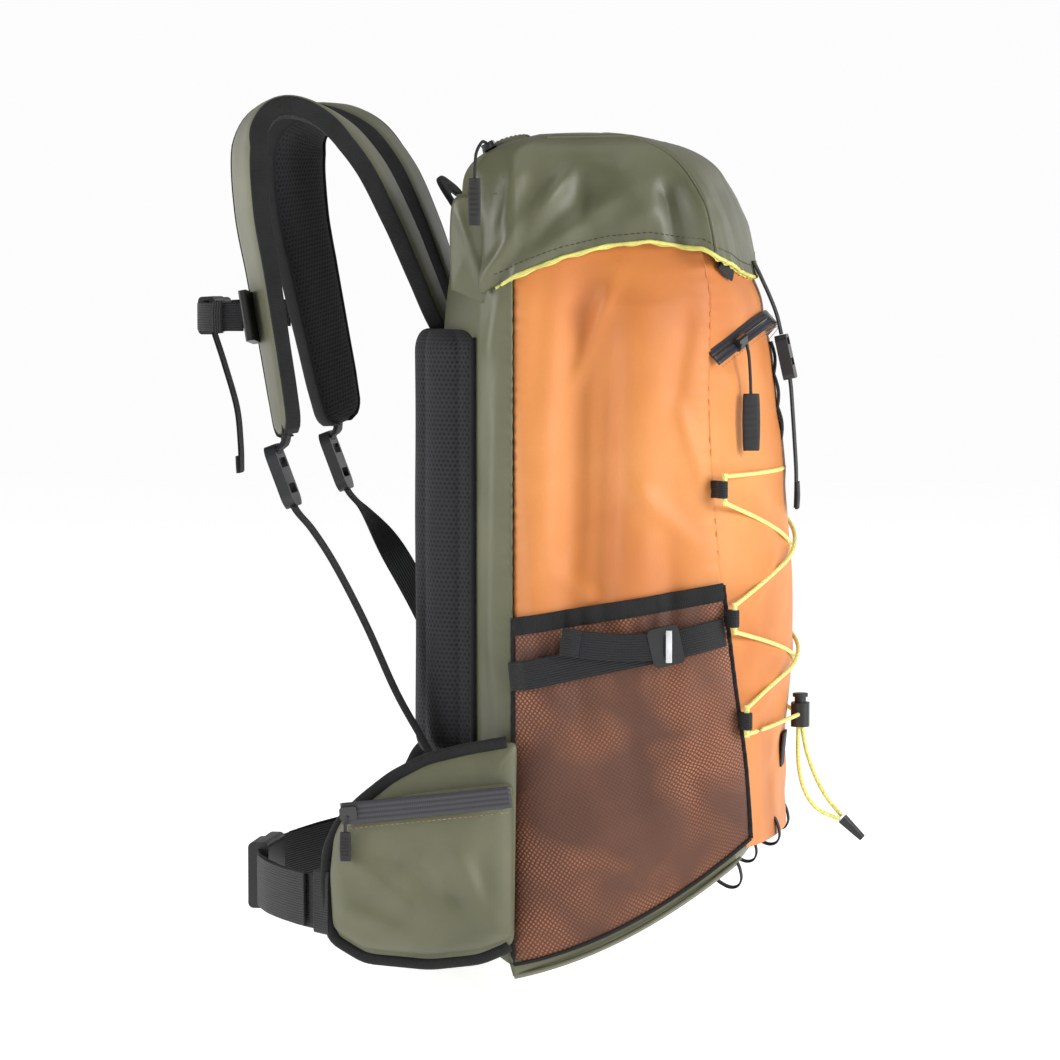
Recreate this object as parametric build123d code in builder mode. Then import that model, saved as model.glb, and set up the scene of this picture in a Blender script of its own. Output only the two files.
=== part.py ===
"""Top-loading daypack of about 30 litres, posed as worn, in millimetres.

+X points away from the wearer, +Z up, and the wearer's left side is -Y. The origin is on the
rear face of the spine pad, at mid back. Every soft panel is a plain closed solid of its true
outer size, and every hollow of the pack is open where the real one is.
"""

import math
import os

from build123d import *

os.makedirs("parts", exist_ok=True)

# ---------------------------------------------------------------- driving dimensions
WALL = 3.0              # thickness of a fabric panel with its lining
SIDE_X, SIDE_Y = 80.0, 137.0   # rear seam of the side panel
SIDE_SLOPE = 0.19       # how fast the side panels close in toward the front
CORNER = (56.0, 124.0)  # edge of the back panel, where the side strip starts
REAR_HALF = 80.0        # half width of the flat back
PIVOT_X = 85.0          # X about which the lower levels tilt
PAD_DEPTH = 22.0        # back pads stand this far behind the back wall
PAD_TOP, PAD_BOTTOM = 168.0, -125.0

# body levels, top to bottom: height at PIVOT_X, slope, rear X, front corner X, front centre X
BODY_LEVELS = [
    (236, 0.00, 33, 205, 213),
    (194, 0.00, 27, 213, 229),
    (188, 0.00, 26, 214, 238),
    (130, 0.00, 22, 213, 247),
    (0, 0.00, 22, 221, 259),
    (-70, 0.00, 22, 229, 260),
    (-140, 0.12, 22, 238, 254),
    (-263, 0.48, 22, 243, 246),
]
BASE_LEVEL = (-279, 0.50, 40, 229, 233)
BASE_INSET = 11.0

# lid levels: height, rear X, rear half width, corner X and Y, seam X, side offset, front X, nose X
LID_LEVELS = [
    (190, 56, 100, 60, 131.0, 80, 5, 217, 238),
    (235, 50, 100, 60, 131.0, 80, 5, 211, 226),
    (262, 41, 105, 55, 128.0, 80, 1, 203, 214),
    (285, 50, 104, 58, 121.0, 80, -7, 188, 199),
    (297, 72, 104, 78, 114.0, 90, -15, 168, 178),
    (303, 92, 90, 97, 99.0, 105, -27, 150, 158),
]
LINING_Z = 268.0        # floor of the lid pocket
LINING_THICK = 1.5

ZIP_APEX = (244.0, 174.0)      # front zip at the centre line, X and Z
ZIP_END = (214.5, 110.0, 148.0)
ZIP_TAPE = 14.0
SLIDER_Y = -84.3

CORD = 3.0              # shock cord
WEB_NARROW, WEB_WIDE = 20.0, 38.0
WEB_THICK = 1.8

LACE_ROWS = [59.0, -30.0, -101.0]
LOCK_X, LOCK_Z = 268.0, -108.0

STRAP_THICK = 17.0
STRAP_ROUTE = [
    (12, -46, 180), (2, -50, 206), (-14, -58, 246), (-33, -66, 284), (-57, -73, 311),
    (-84, -78, 323), (-104, -80, 317), (-115, -80, 295), (-113, -82, 250), (-105, -85, 207),
    (-97, -90, 164), (-89, -95, 121), (-84, -99, 94),
]
STERNUM_Z = 176.0
STERNUM_X = -156.0
HIP_Z = -228.0
HIP_X = -121.0
WING_ROOT = (82.0, -143.0)
WING_SLOPE = 0.09
WING_THICK = 12.0
POCKET_THICK = 10.0

SIDE_PLANE = Plane(
    origin=(SIDE_X, -SIDE_Y, 0), x_dir=(1, SIDE_SLOPE, 0), z_dir=(SIDE_SLOPE, -1, 0)
)
WING_PLANE = Plane(
    origin=(*WING_ROOT, 0), x_dir=(1, WING_SLOPE, 0), z_dir=(WING_SLOPE, -1, 0)
)
SIDE_STRETCH = math.hypot(1, SIDE_SLOPE)
WING_STRETCH = math.hypot(1, WING_SLOPE)


# ---------------------------------------------------------------- shared geometry
def side_y(x):
    """Half width of the pack at the side panel, at a given X."""
    return SIDE_Y - SIDE_SLOPE * (x - SIDE_X)


def outline(plane, slope, rear, corner, seam_x, side_off, front_x, nose_x, inset):
    """One closed section of the pack: flat back, cut corners, straight sides, arched front."""
    stretch = math.hypot(1, slope)
    left = [
        (rear[0], -rear[1]),
        (corner[0], -corner[1]),
        (seam_x, -(side_y(seam_x) + side_off)),
        (front_x, -(side_y(front_x) + side_off)),
    ]
    left = [((x - PIVOT_X) * stretch, y) for x, y in left]
    right = [(x, -y) for x, y in reversed(left)]
    with BuildSketch(plane) as section:
        with BuildLine():
            Polyline(*right, *left)
            ThreePointArc(left[-1], ((nose_x - PIVOT_X) * stretch, 0), right[0])
        make_face()
        if inset:
            offset(amount=-inset, kind=Kind.INTERSECTION)
    return section.sketch


def body_sections(inset=0.0, lift=0.0):
    """Sections of the pack body, with the base drawn in by a chamfer."""
    sections = []
    for z, slope, rear_x, front_x, nose_x in BODY_LEVELS + [BASE_LEVEL]:
        base = BASE_INSET if z == BASE_LEVEL[0] else 0.0
        plane = Plane(origin=(PIVOT_X, 0, z + lift), x_dir=(1, 0, slope), z_dir=(-slope, 0, 1))
        sections.append(
            outline(
                plane, slope, (rear_x, REAR_HALF - base), (CORNER[0] + base, CORNER[1] - base),
                SIDE_X + base, -base, front_x, nose_x, inset,
            )
        )
    return sections


def lid_sections(inset=0.0, lift=0.0):
    """Sections of the lid, a domed cap with square shoulders."""
    sections = []
    for z, rear_x, rear_y, corner_x, corner_y, seam_x, side_off, front_x, nose_x in LID_LEVELS:
        plane = Plane(origin=(PIVOT_X, 0, z + lift), x_dir=(1, 0, 0), z_dir=(0, 0, 1))
        sections.append(
            outline(
                plane, 0.0, (rear_x, rear_y), (corner_x, corner_y), seam_x, side_off,
                front_x, nose_x, inset,
            )
        )
    return sections


def front_x_at(y, z):
    """X of the pack's front face at a given height and distance from the centre plane."""
    rows = BODY_LEVELS[:7]
    for upper, lower in zip(rows, rows[1:]):
        if upper[0] >= z >= lower[0]:
            share = (upper[0] - z) / (upper[0] - lower[0])
            corner_x = upper[3] + share * (lower[3] - upper[3])
            nose_x = upper[4] + share * (lower[4] - upper[4])
            half = side_y(corner_x)
            rise = nose_x - corner_x
            radius = (half**2 + rise**2) / (2 * rise)
            return nose_x - radius + math.sqrt(radius**2 - y**2)
    raise ValueError("height outside the front panel")


def ribbon(route, width, thickness, across=(0, 1, 0)):
    """Rectangles square to a route of points, for a ruled loft: webbing or a padded strap."""
    points = [Vector(*p) for p in route]
    widths = width if isinstance(width, list) else [width] * len(points)
    sections = []
    for i, point in enumerate(points):
        tangent = points[min(i + 1, len(points) - 1)] - points[max(i - 1, 0)]
        side = Vector(*across) - tangent * (Vector(*across).dot(tangent) / tangent.dot(tangent))
        with BuildSketch(Plane(origin=point, x_dir=side, z_dir=tangent)) as section:
            Rectangle(widths[i], thickness)
        sections.append(section.sketch)
    return sections


def rounded_path(route, label):
    """A cord's centre line: straight runs joined by the largest arcs that the runs allow."""
    points = [Vector(*p) for p in route]
    radii = []
    for before, here, after in zip(points, points[1:], points[2:]):
        turn = math.radians((here - before).get_angle(after - here))
        shorter = min((here - before).length, (after - here).length)
        radii.append(0.45 * shorter / math.tan(turn / 2))
    print(label, "arc radii", [round(r, 1) for r in radii])
    with BuildLine() as line:
        FilletPolyline(*points, radius=radii)
    return line.wires()[0]


def report_tube(name, part, path, diameter):
    """Print a tube's length, and its volume against its section times its length."""
    ideal = math.pi * diameter**2 / 4 * path.length
    print(name, "length", round(path.length, 1), "volume ratio", round(part.volume / ideal, 4))


def save(part, name):
    """Label a finished piece and write it."""
    part.label = name
    export_step(part, f"parts/{name}.step")


# ---------------------------------------------------------------- pack body
SEAM_PLANE = Plane(origin=(SIDE_X, 0, 70), x_dir=(0, 1, 0), z_dir=(1, 0, 0.024))
SLAB_PLANE_LEFT = SIDE_PLANE.offset(-WALL)
BASE_CUT = Plane(origin=(PIVOT_X, 0, -258), x_dir=(1, 0, 0.48), z_dir=(-0.48, 0, 1))
HEEL = [(-20, -200), (96, -288), (-20, -320)]


def heeled_body(inset, lift, heel_lift):
    """The filled body, with its heel cut up toward the back."""
    with BuildPart() as body:
        loft(body_sections(inset=inset, lift=lift), ruled=True)
        with BuildSketch(Plane.XZ) as heel:
            with BuildLine():
                Polyline(*[(x, z + heel_lift) for x, z in HEEL], close=True)
            make_face()
        extrude(heel.sketch, amount=200, both=True, mode=Mode.SUBTRACT)
    return body.part


with BuildPart() as outer_body:
    loft(body_sections(), ruled=True)

with BuildPart() as pack_shell:
    add(heeled_body(0.0, 0.0, 0.0))
    add(heeled_body(WALL, 4.0, 4.5), mode=Mode.SUBTRACT)

with BuildPart() as back_wall:
    add(pack_shell.part)
    split(bisect_by=SEAM_PLANE, keep=Keep.BOTTOM)
save(back_wall.part, "back_wall")

with BuildPart() as side_panel_left:
    add(outer_body.part)
    split(bisect_by=SEAM_PLANE, keep=Keep.TOP)
    split(bisect_by=SLAB_PLANE_LEFT, keep=Keep.TOP)
    split(bisect_by=BASE_CUT, keep=Keep.TOP)
save(side_panel_left.part, "side_panel_left")

with BuildPart() as side_panel_right:
    mirror(side_panel_left.part, about=Plane.XZ)
save(side_panel_right.part, "side_panel_right")

with BuildPart() as between_sides:
    add(pack_shell.part)
    split(bisect_by=SEAM_PLANE, keep=Keep.TOP)
    split(bisect_by=SLAB_PLANE_LEFT, keep=Keep.BOTTOM)
    mirror(about=Plane.XZ, mode=Mode.INTERSECT)

with BuildPart() as front_panel:
    add(between_sides.part)
    split(bisect_by=BASE_CUT, keep=Keep.TOP)
    add(front_panel.solids().sort_by(SortBy.VOLUME)[-1], mode=Mode.INTERSECT)
save(front_panel.part, "front_panel")

with BuildPart() as bottom_panel:
    add(pack_shell.part)
    split(bisect_by=SEAM_PLANE, keep=Keep.TOP)
    split(bisect_by=BASE_CUT, keep=Keep.BOTTOM)
save(bottom_panel.part, "bottom_panel")


# ---------------------------------------------------------------- collar and inner frame
def collar_sections(inset):
    """The gathered collar above the rim: wide at its foot, drawn in at its top."""
    foot = Plane(origin=(PIVOT_X, 0, 236), x_dir=(1, 0, 0), z_dir=(0, 0, 1))
    top = Plane(origin=(PIVOT_X, 0, 262), x_dir=(1, 0, 0), z_dir=(0, 0, 1))
    return [
        outline(foot, 0.0, (37, 76), (62, 119), SIDE_X, -5, 201, 208, inset),
        outline(top, 0.0, (56, 70), (70, 106), 88, -14, 190, 196, inset),
    ]


with BuildPart() as collar:
    loft(collar_sections(0), ruled=True)
    loft(collar_sections(1.5), ruled=True, mode=Mode.SUBTRACT)
save(collar.part, "collar")

SHEET_X = 25.5
with BuildPart() as frame_sheet:
    with BuildSketch(Plane.YZ.offset(SHEET_X)):
        with Locations((0, -35)):
            RectangleRounded(150, 325, 30)
    extrude(amount=1.5)
save(frame_sheet.part, "frame_sheet")

with BuildPart() as frame_stays:
    with BuildSketch(Plane.YZ.offset(SHEET_X + 1.8)):
        with Locations((-42, -35), (42, -35)):
            RectangleRounded(12, 310, 5)
    extrude(amount=3)
save(frame_stays.part, "frame_stays")

with BuildPart() as hydration_sleeve:
    with BuildSketch(Plane.XY.offset(-150)):
        with Locations((46, 0)):
            Rectangle(26, 170)
    extrude(amount=270)
    with BuildSketch(Plane.XY.offset(-148)):
        with Locations((43.5, 0)):
            Rectangle(27, 166)
    extrude(amount=300, mode=Mode.SUBTRACT)
save(hydration_sleeve.part, "hydration_sleeve")

# ---------------------------------------------------------------- back system
with BuildPart() as spine_pad:
    with BuildSketch(Plane.XY.offset(PAD_BOTTOM)):
        with Locations((PAD_DEPTH / 2, 0)):
            Rectangle(PAD_DEPTH, 52)
    extrude(amount=PAD_TOP - PAD_BOTTOM)
save(spine_pad.part, "spine_pad")

with BuildPart() as back_pad_left:
    with BuildSketch(Plane.XY.offset(PAD_BOTTOM)):
        with BuildLine():
            ThreePointArc((0, -72), (13, -104), (48, -124))
            Polyline((48, -124), (CORNER[0], -CORNER[1]), (PAD_DEPTH, -REAR_HALF),
                     (PAD_DEPTH, -30), (0, -30), (0, -72))
        make_face()
    extrude(amount=PAD_TOP - PAD_BOTTOM)
save(back_pad_left.part, "back_pad_left")

with BuildPart() as back_pad_right:
    mirror(back_pad_left.part, about=Plane.XZ)
save(back_pad_right.part, "back_pad_right")

with BuildPart() as lumbar_pad:
    with BuildSketch(Plane.YZ.offset(3)):
        with Locations((0, -178)):
            RectangleRounded(150, 96, 20)
    extrude(amount=PAD_DEPTH - 3)
save(lumbar_pad.part, "lumbar_pad")

YOKE = [(20, 170), (22.3, 190), (29, 236), (34, 261.5), (37.5, 261.5), (33, 236), (27, 194),
        (26, 188), (24.7, 170)]
with BuildPart() as back_yoke:
    with BuildSketch(Plane.XZ):
        with BuildLine():
            Polyline(*YOKE, close=True)
        make_face()
    extrude(amount=REAR_HALF - 2, both=True)
save(back_yoke.part, "back_yoke")

HAUL_ROUTE = [(27, -34, 250), (18, -31, 262), (13, -18, 268), (12, 0, 270), (13, 18, 268),
              (18, 31, 262), (27, 34, 250)]
with BuildPart() as haul_loop:
    loft(ribbon(HAUL_ROUTE, 14, 4, across=(-0.6, 0, 0.8)), ruled=True)
save(haul_loop.part, "haul_loop")

with BuildPart() as rear_flaps:
    with BuildSketch(Plane.XZ.offset(127.4)):
        with BuildLine():
            Polyline((35, 196), (62, 187), (62.5, 244), (56, 258), (38, 259), (34, 238), close=True)
        make_face()
    extrude(amount=2.4)
    mirror(about=Plane.XZ)
save(rear_flaps.part, "rear_flaps")

# ---------------------------------------------------------------- lid
HEM = [(40, 150), (64, 150), (64, 196), (84, 207), (113, 219), (143, 227), (172, 230),
       (205, 225), (220, 212), (238, 195.5), (262, 186), (262, 150)]
with BuildPart() as lid_hollow:
    loft(lid_sections(inset=WALL, lift=-WALL), ruled=True)

with BuildPart() as lid_shell:
    loft(lid_sections(), ruled=True)
    add(lid_hollow.part, mode=Mode.SUBTRACT)
    with BuildSketch(Plane.XZ) as below_hem:
        with BuildLine():
            Polyline(*HEM, close=True)
        make_face()
    extrude(below_hem.sketch, amount=200, both=True, mode=Mode.SUBTRACT)
    with BuildSketch(Plane.XZ) as open_back:
        with BuildLine():
            Polyline((20, 150), (SIDE_X, 150), (SIDE_X, 262), (20, 262), close=True)
        make_face()
    extrude(open_back.sketch, amount=200, both=True, mode=Mode.SUBTRACT)
save(lid_shell.part, "lid_shell")

with BuildPart() as lid_lining:
    add(lid_hollow.part)
    split(bisect_by=Plane.XY.offset(LINING_Z), keep=Keep.TOP)
    split(bisect_by=Plane.XY.offset(LINING_Z + LINING_THICK), keep=Keep.BOTTOM)
save(lid_lining.part, "lid_lining")

REAR_SLOPE = Plane(origin=(61, 0, 291), x_dir=(0, 1, 0), z_dir=(-12, 0, 22))
with BuildPart() as lid_zip_tape:
    with BuildSketch(REAR_SLOPE.offset(0.3)):
        Rectangle(196, ZIP_TAPE)
    extrude(amount=1.5)
save(lid_zip_tape.part, "lid_zip_tape")

with BuildPart() as lid_zip_slider:
    with BuildSketch(REAR_SLOPE.offset(2.0)):
        with Locations((-106, 0)):
            RectangleRounded(13, 9, 2)
    extrude(amount=4.5)
save(lid_zip_slider.part, "lid_zip_slider")

LID_PULL = [(58, -114, 297), (57, -126, 297), (55, -137, 290), (55, -143, 282), (55, -146, 270)]
with BuildPart() as lid_zip_pull:
    loft(ribbon(LID_PULL, 3, 2.5, across=(1, 0, 0)), ruled=True)
    with BuildSketch(Plane.XY.offset(270)):
        with Locations((55, -146)):
            RectangleRounded(7, 4, 1)
    extrude(amount=-31)
save(lid_zip_pull.part, "lid_zip_pull")

# ---------------------------------------------------------------- front strap
FRONT_STRAP = [(239.5, 0, 202), (245, 0, 190), (250, 0, 177), (253, 0, 163.6)]
with BuildPart() as front_strap_webbing:
    loft(ribbon(FRONT_STRAP, WEB_NARROW, WEB_THICK), ruled=True)
    tail = [(260, 0, 130), (261, 0, 112), (262.5, 0, 90), (263.8, 0, 66), (264, 0, 50)]
    loft(ribbon(tail, WEB_NARROW, WEB_THICK), ruled=True)
    with BuildSketch(Plane(origin=(264, 0, 50), x_dir=(0, 1, 0), z_dir=(0, 0, 1))):
        Rectangle(WEB_NARROW, 4.4)
    extrude(amount=-12)
save(front_strap_webbing.part, "front_strap_webbing")

BUCKLE_PLANE = Plane(origin=(256.6, 0, 147), x_dir=(0, 1, 0), z_dir=(1, 0, 0.22))
with BuildPart() as front_strap_buckle:
    with BuildSketch(BUCKLE_PLANE.offset(-4.2)):
        RectangleRounded(26, 32, 4)
    extrude(amount=8.4)
    for height in (11, -4):
        with BuildSketch(BUCKLE_PLANE.offset(-4.2)):
            with Locations((0, height)):
                Rectangle(WEB_NARROW + 1, 5)
        extrude(amount=8.4, mode=Mode.SUBTRACT)
    with BuildSketch(BUCKLE_PLANE.offset(-2.1)):
        with Locations((0, -4)):
            Rectangle(WEB_NARROW + 1, 5)
    extrude(amount=3.5)
save(front_strap_buckle.part, "front_strap_buckle")

with BuildPart() as front_loop_strip:
    strip = [(front_x_at(0, z) + 1.2, 0, z) for z in (158, 145, 131, 110, 88)]
    loft(ribbon(strip, 12, WEB_THICK), ruled=True)
save(front_loop_strip.part, "front_loop_strip")

# ---------------------------------------------------------------- front pocket zip
chord = (ZIP_APEX[0] - ZIP_END[0], ZIP_APEX[1] - ZIP_END[2])
RISE = math.hypot(*chord)
ZIP_RADIUS = (ZIP_END[1] ** 2 + RISE**2) / (2 * RISE)
ZIP_OUT = (chord[0] / RISE, 0, chord[1] / RISE)
ZIP_AXIS_DIR = (-ZIP_OUT[2], 0, ZIP_OUT[0])
ZIP_CENTRE = (ZIP_APEX[0] - ZIP_RADIUS * ZIP_OUT[0], 0, ZIP_APEX[1] - ZIP_RADIUS * ZIP_OUT[2])
ZIP_AXIS = Axis(ZIP_CENTRE, ZIP_AXIS_DIR)
ZIP_HALF = math.degrees(math.asin(ZIP_END[1] / ZIP_RADIUS))
SLIDER_TURN = math.degrees(math.asin(SLIDER_Y / ZIP_RADIUS))
print("zip axis", [round(v, 4) for v in ZIP_CENTRE], [round(v, 5) for v in ZIP_AXIS_DIR],
      "radius", round(ZIP_RADIUS, 2), "slider", round(SLIDER_TURN, 2), "half", round(ZIP_HALF, 2))


def zip_plane(out):
    """Plane across the zip's path at the centre line, turned to the slider's rest."""
    return Plane(origin=(ZIP_APEX[0] + out, 0, ZIP_APEX[1]), x_dir=(1, 0, 0), z_dir=(0, 1, 0))


with BuildPart() as front_zip_tape:
    with BuildSketch(zip_plane(1.6)) as tape_section:
        Rectangle(1.5, ZIP_TAPE)
    revolve(
        tape_section.sketch.rotate(ZIP_AXIS, -ZIP_HALF).faces(), axis=ZIP_AXIS,
        revolution_arc=2 * ZIP_HALF,
    )
save(front_zip_tape.part, "front_zip_tape")

with BuildPart() as slider_at_apex:
    with BuildSketch(zip_plane(5.2).offset(-6)):
        RectangleRounded(4.6, 9, 1.5)
    extrude(amount=12)
with BuildPart() as front_zip_slider:
    add(slider_at_apex.part.rotate(ZIP_AXIS, SLIDER_TURN))
save(front_zip_slider.part, "front_zip_slider")

FRONT_PULL_TOP = (236.5, -88.5, 158)
FRONT_PULL = [FRONT_PULL_TOP, (238, -88.5, 150), (239, -88.5, 136), (239.5, -88.5, 122)]
with BuildPart() as front_zip_pull:
    loft(ribbon(FRONT_PULL, 4, 2.4), ruled=True)
    with BuildSketch(Plane.XY.offset(122)):
        with Locations((239.7, -88.5)):
            RectangleRounded(4, 10, 1)
    extrude(amount=-38)
save(front_zip_pull.part, "front_zip_pull")

# ---------------------------------------------------------------- lacing and webbing loops
LOOP_OUT = (0.72, -0.69, 0)
EYE_OUT = 9.5


def lace_corner(z):
    """Where a lacing loop is sewn into the front seam."""
    rows = BODY_LEVELS[:7]
    for upper, lower in zip(rows, rows[1:]):
        if upper[0] >= z >= lower[0]:
            corner_x = upper[3] + (upper[0] - z) / (upper[0] - lower[0]) * (lower[3] - upper[3])
            return corner_x, -side_y(corner_x)
    raise ValueError("height outside the front panel")


def lace_eye(row, z, side):
    """A point of the cord at a lacing loop: it runs straight down through the loop."""
    x, y = lace_corner(row)
    return x + EYE_OUT * LOOP_OUT[0], side * (y + EYE_OUT * LOOP_OUT[1]), z


BASE_LOOPS = [(250, -40, -190), (225, -62, -218)]
with BuildPart() as gear_loops:
    for z in LACE_ROWS:
        x, y = lace_corner(z)
        loop_plane = Plane(origin=(x, y, z), x_dir=LOOP_OUT, z_dir=(0, 0, 1))
        with BuildSketch(loop_plane.offset(-6)):
            with Locations((7.8, 0)):
                RectangleRounded(13, 8, 2.5)
            with Locations((EYE_OUT, 0)):
                Circle(CORD / 2 + 0.5, mode=Mode.SUBTRACT)
        extrude(amount=12)
    for x, y, z in BASE_LOOPS:
        base_plane = Plane(origin=(x, y, z), x_dir=(0.8, 0, 0.6), z_dir=(0, 1, 0))
        with BuildSketch(base_plane.offset(-WEB_NARROW / 2)):
            with Locations((0, 5)):
                RectangleRounded(16, 10, 3)
                RectangleRounded(12, 6.4, 2, mode=Mode.SUBTRACT)
        extrude(amount=WEB_NARROW)
    mirror(about=Plane.XZ)
save(gear_loops.part, "gear_loops")

LACE_GAP = CORD / 2 + 2.2
EYE_RISE = 9.0          # the lace leaves a loop this far above or below its middle


def nearest_row(z):
    """Height of the lacing row that a cord end belongs to."""
    return min(LACE_ROWS, key=lambda row: abs(row - z))


def lace_span(z_near, z_far, lift):
    """One span of the lace over the front, from the wearer's left loop to the right one."""
    start = lace_eye(nearest_row(z_near), z_near, 1)
    end = lace_eye(nearest_row(z_far), z_far, -1)
    route = [start]
    for share in (0.2, 0.4, 0.6, 0.8):
        y = start[1] + share * (end[1] - start[1])
        z = z_near + share * (z_far - z_near)
        extra = lift if 0.3 < share < 0.7 else 0.0
        route.append((front_x_at(y, z) + LACE_GAP + extra, y, z))
    return route + [end]


TOP_ROW, MIDDLE_ROW, LOW_ROW = LACE_ROWS
LACE_SPANS = [
    lace_span(TOP_ROW + EYE_RISE, TOP_ROW + EYE_RISE, 0.0),
    lace_span(TOP_ROW - EYE_RISE, MIDDLE_ROW + EYE_RISE, 0.0),
    lace_span(MIDDLE_ROW + EYE_RISE, TOP_ROW - EYE_RISE, CORD + 0.5),
    lace_span(MIDDLE_ROW - EYE_RISE, LOW_ROW + EYE_RISE, 0.0),
    lace_span(LOW_ROW + EYE_RISE, MIDDLE_ROW - EYE_RISE, CORD + 0.5),
]
with BuildPart() as lace_cord:
    for number, route in enumerate(LACE_SPANS):
        path = rounded_path(route, f"lace span {number}")
        with BuildSketch(Plane(origin=path @ 0, z_dir=path % 0)) as cord_section:
            Circle(CORD / 2)
        sweep(cord_section.sketch, path=path)
    for side in (1, -1):
        eye_x, eye_y, eye_z = lace_eye(LOW_ROW, LOW_ROW - EYE_RISE, side)
        route = [
            (eye_x, eye_y, eye_z),
            (front_x_at(80, eye_z) + LACE_GAP + 1, -side * 80, eye_z),
            (front_x_at(45, eye_z) + LACE_GAP + 1, -side * 45, eye_z + 0.8),
            (LOCK_X - 1, -side * 8, LOCK_Z),
        ]
        path = rounded_path(route, f"lace end {side}")
        with BuildSketch(Plane(origin=path @ 0, z_dir=path % 0)) as cord_section:
            Circle(CORD / 2)
        sweep(cord_section.sketch, path=path)
        for row in LACE_ROWS:
            with BuildSketch(Plane(origin=lace_eye(row, row - EYE_RISE - 2, side))):
                Circle(CORD / 2 + 0.3)
            extrude(amount=2 * EYE_RISE + 4)
save(lace_cord.part, "lace_cord")

with BuildPart() as cord_lock_body:
    with BuildSketch(Plane.XY.offset(LOCK_Z - 9)):
        with Locations((LOCK_X, 0)):
            RectangleRounded(13, 16, 5)
    extrude(amount=17)
    with BuildSketch(Plane.XY.offset(LOCK_Z - 1)):
        with Locations((LOCK_X, 0)):
            Circle(4.4)
    extrude(amount=10, mode=Mode.SUBTRACT)
save(cord_lock_body.part, "cord_lock_body")

with BuildPart() as cord_lock_button:
    with BuildSketch(Plane.XY.offset(LOCK_Z + 3.2)):
        with Locations((LOCK_X, 0)):
            Circle(4.1)
    extrude(amount=9)
    with BuildSketch(Plane.XY.offset(LOCK_Z + 12.2)):
        with Locations((LOCK_X, 0)):
            Circle(5.5)
    extrude(amount=2.5)
save(cord_lock_button.part, "cord_lock_button")

TAIL_TOP = LOCK_Z - 9
TAILS = {
    "cord_tail_left": [
        (LOCK_X - 1, -3.5, TAIL_TOP), (LOCK_X - 1.5, -5, TAIL_TOP - 16),
        (LOCK_X, -7, TAIL_TOP - 34), (LOCK_X + 5, -6, TAIL_TOP - 50),
        (LOCK_X + 15, -4, TAIL_TOP - 62), (LOCK_X + 29, -2.6, TAIL_TOP - 66),
    ],
    "cord_tail_right": [
        (LOCK_X + 1, 3.5, TAIL_TOP), (LOCK_X + 3, 5, TAIL_TOP - 15),
        (LOCK_X + 8, 6.5, TAIL_TOP - 31), (LOCK_X + 15, 5, TAIL_TOP - 46),
        (LOCK_X + 22, 3.4, TAIL_TOP - 56), (LOCK_X + 30, 2.2, TAIL_TOP - 64.5),
    ],
}
for name, route in TAILS.items():
    path = rounded_path(route, name)
    with BuildPart() as cord_tail:
        with BuildSketch(Plane(origin=path @ 0, z_dir=path % 0)) as cord_section:
            Circle(CORD / 2)
        sweep(cord_section.sketch, path=path)
    report_tube(name, cord_tail.part, path, CORD)
    save(cord_tail.part, name)

END_AXIS = (0.72, 0, -0.69)
END_PLANE = Plane(origin=(LOCK_X + 30.5, 0, TAIL_TOP - 66), x_dir=(0, 1, 0), z_dir=END_AXIS)
with BuildPart() as cord_end:
    with BuildSketch(END_PLANE) as end_foot:
        RectangleRounded(11, 7, 2)
    with BuildSketch(END_PLANE.offset(20)) as end_tip:
        RectangleRounded(7, 4.5, 1.5)
    loft([end_foot.sketch, end_tip.sketch])
save(cord_end.part, "cord_end")

# ---------------------------------------------------------------- shoulder straps
STRAP_WIDTHS = [58, 62, 66, 66, 66, 66, 66, 66, 64, 60, 57, 54, 46]
with BuildPart() as shoulder_strap_left:
    loft(ribbon(STRAP_ROUTE, STRAP_WIDTHS, STRAP_THICK), ruled=True)
save(shoulder_strap_left.part, "shoulder_strap_left")

with BuildPart() as shoulder_strap_right:
    mirror(shoulder_strap_left.part, about=Plane.XZ)
save(shoulder_strap_right.part, "shoulder_strap_right")

LADDER_PLANE = Plane(origin=(-88, -101, 65), x_dir=(0, 1, 0), z_dir=(-0.93, 0, -0.35))
with BuildPart() as strap_ladderlocks:
    with BuildSketch(LADDER_PLANE.offset(-4)):
        RectangleRounded(30, 46, 9)
        with Locations((0, 10), (0, -9)):
            Rectangle(WEB_NARROW + 1.5, 7, mode=Mode.SUBTRACT)
    extrude(amount=8)
    mirror(about=Plane.XZ)
save(strap_ladderlocks.part, "strap_ladderlocks")

LOWER_WEB = [(-78.5, -102, 41.5), (-66, -103.5, 27), (-49, -107, 2), (-27, -112, -38), (-5, -117, -84),
             (14, -121, -116), (24, -123, -134)]
with BuildPart() as strap_webbing:
    loft(ribbon(LOWER_WEB, WEB_NARROW, WEB_THICK), ruled=True)
    with BuildSketch(Plane.XZ.offset(119)):
        with BuildLine():
            Polyline((22, -136), (34, -132), (50, -140), (52, -176), (40, -170), close=True)
        make_face()
    extrude(amount=2.5)
    mirror(about=Plane.XZ)
save(strap_webbing.part, "strap_webbing")

# ---------------------------------------------------------------- sternum strap
CLIP_DIR = (0.18, -0.11, -0.977)
CLIP_PLANE = Plane(origin=(-114.5, -85, STERNUM_Z), x_dir=(0, 1, 0), z_dir=CLIP_DIR)
with BuildPart() as sternum_clips:
    with BuildSketch(CLIP_PLANE.offset(-18)):
        RectangleRounded(26, 6, 2)
    extrude(amount=36)
    mirror(about=Plane.XZ)
save(sternum_clips.part, "sternum_clips")

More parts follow.
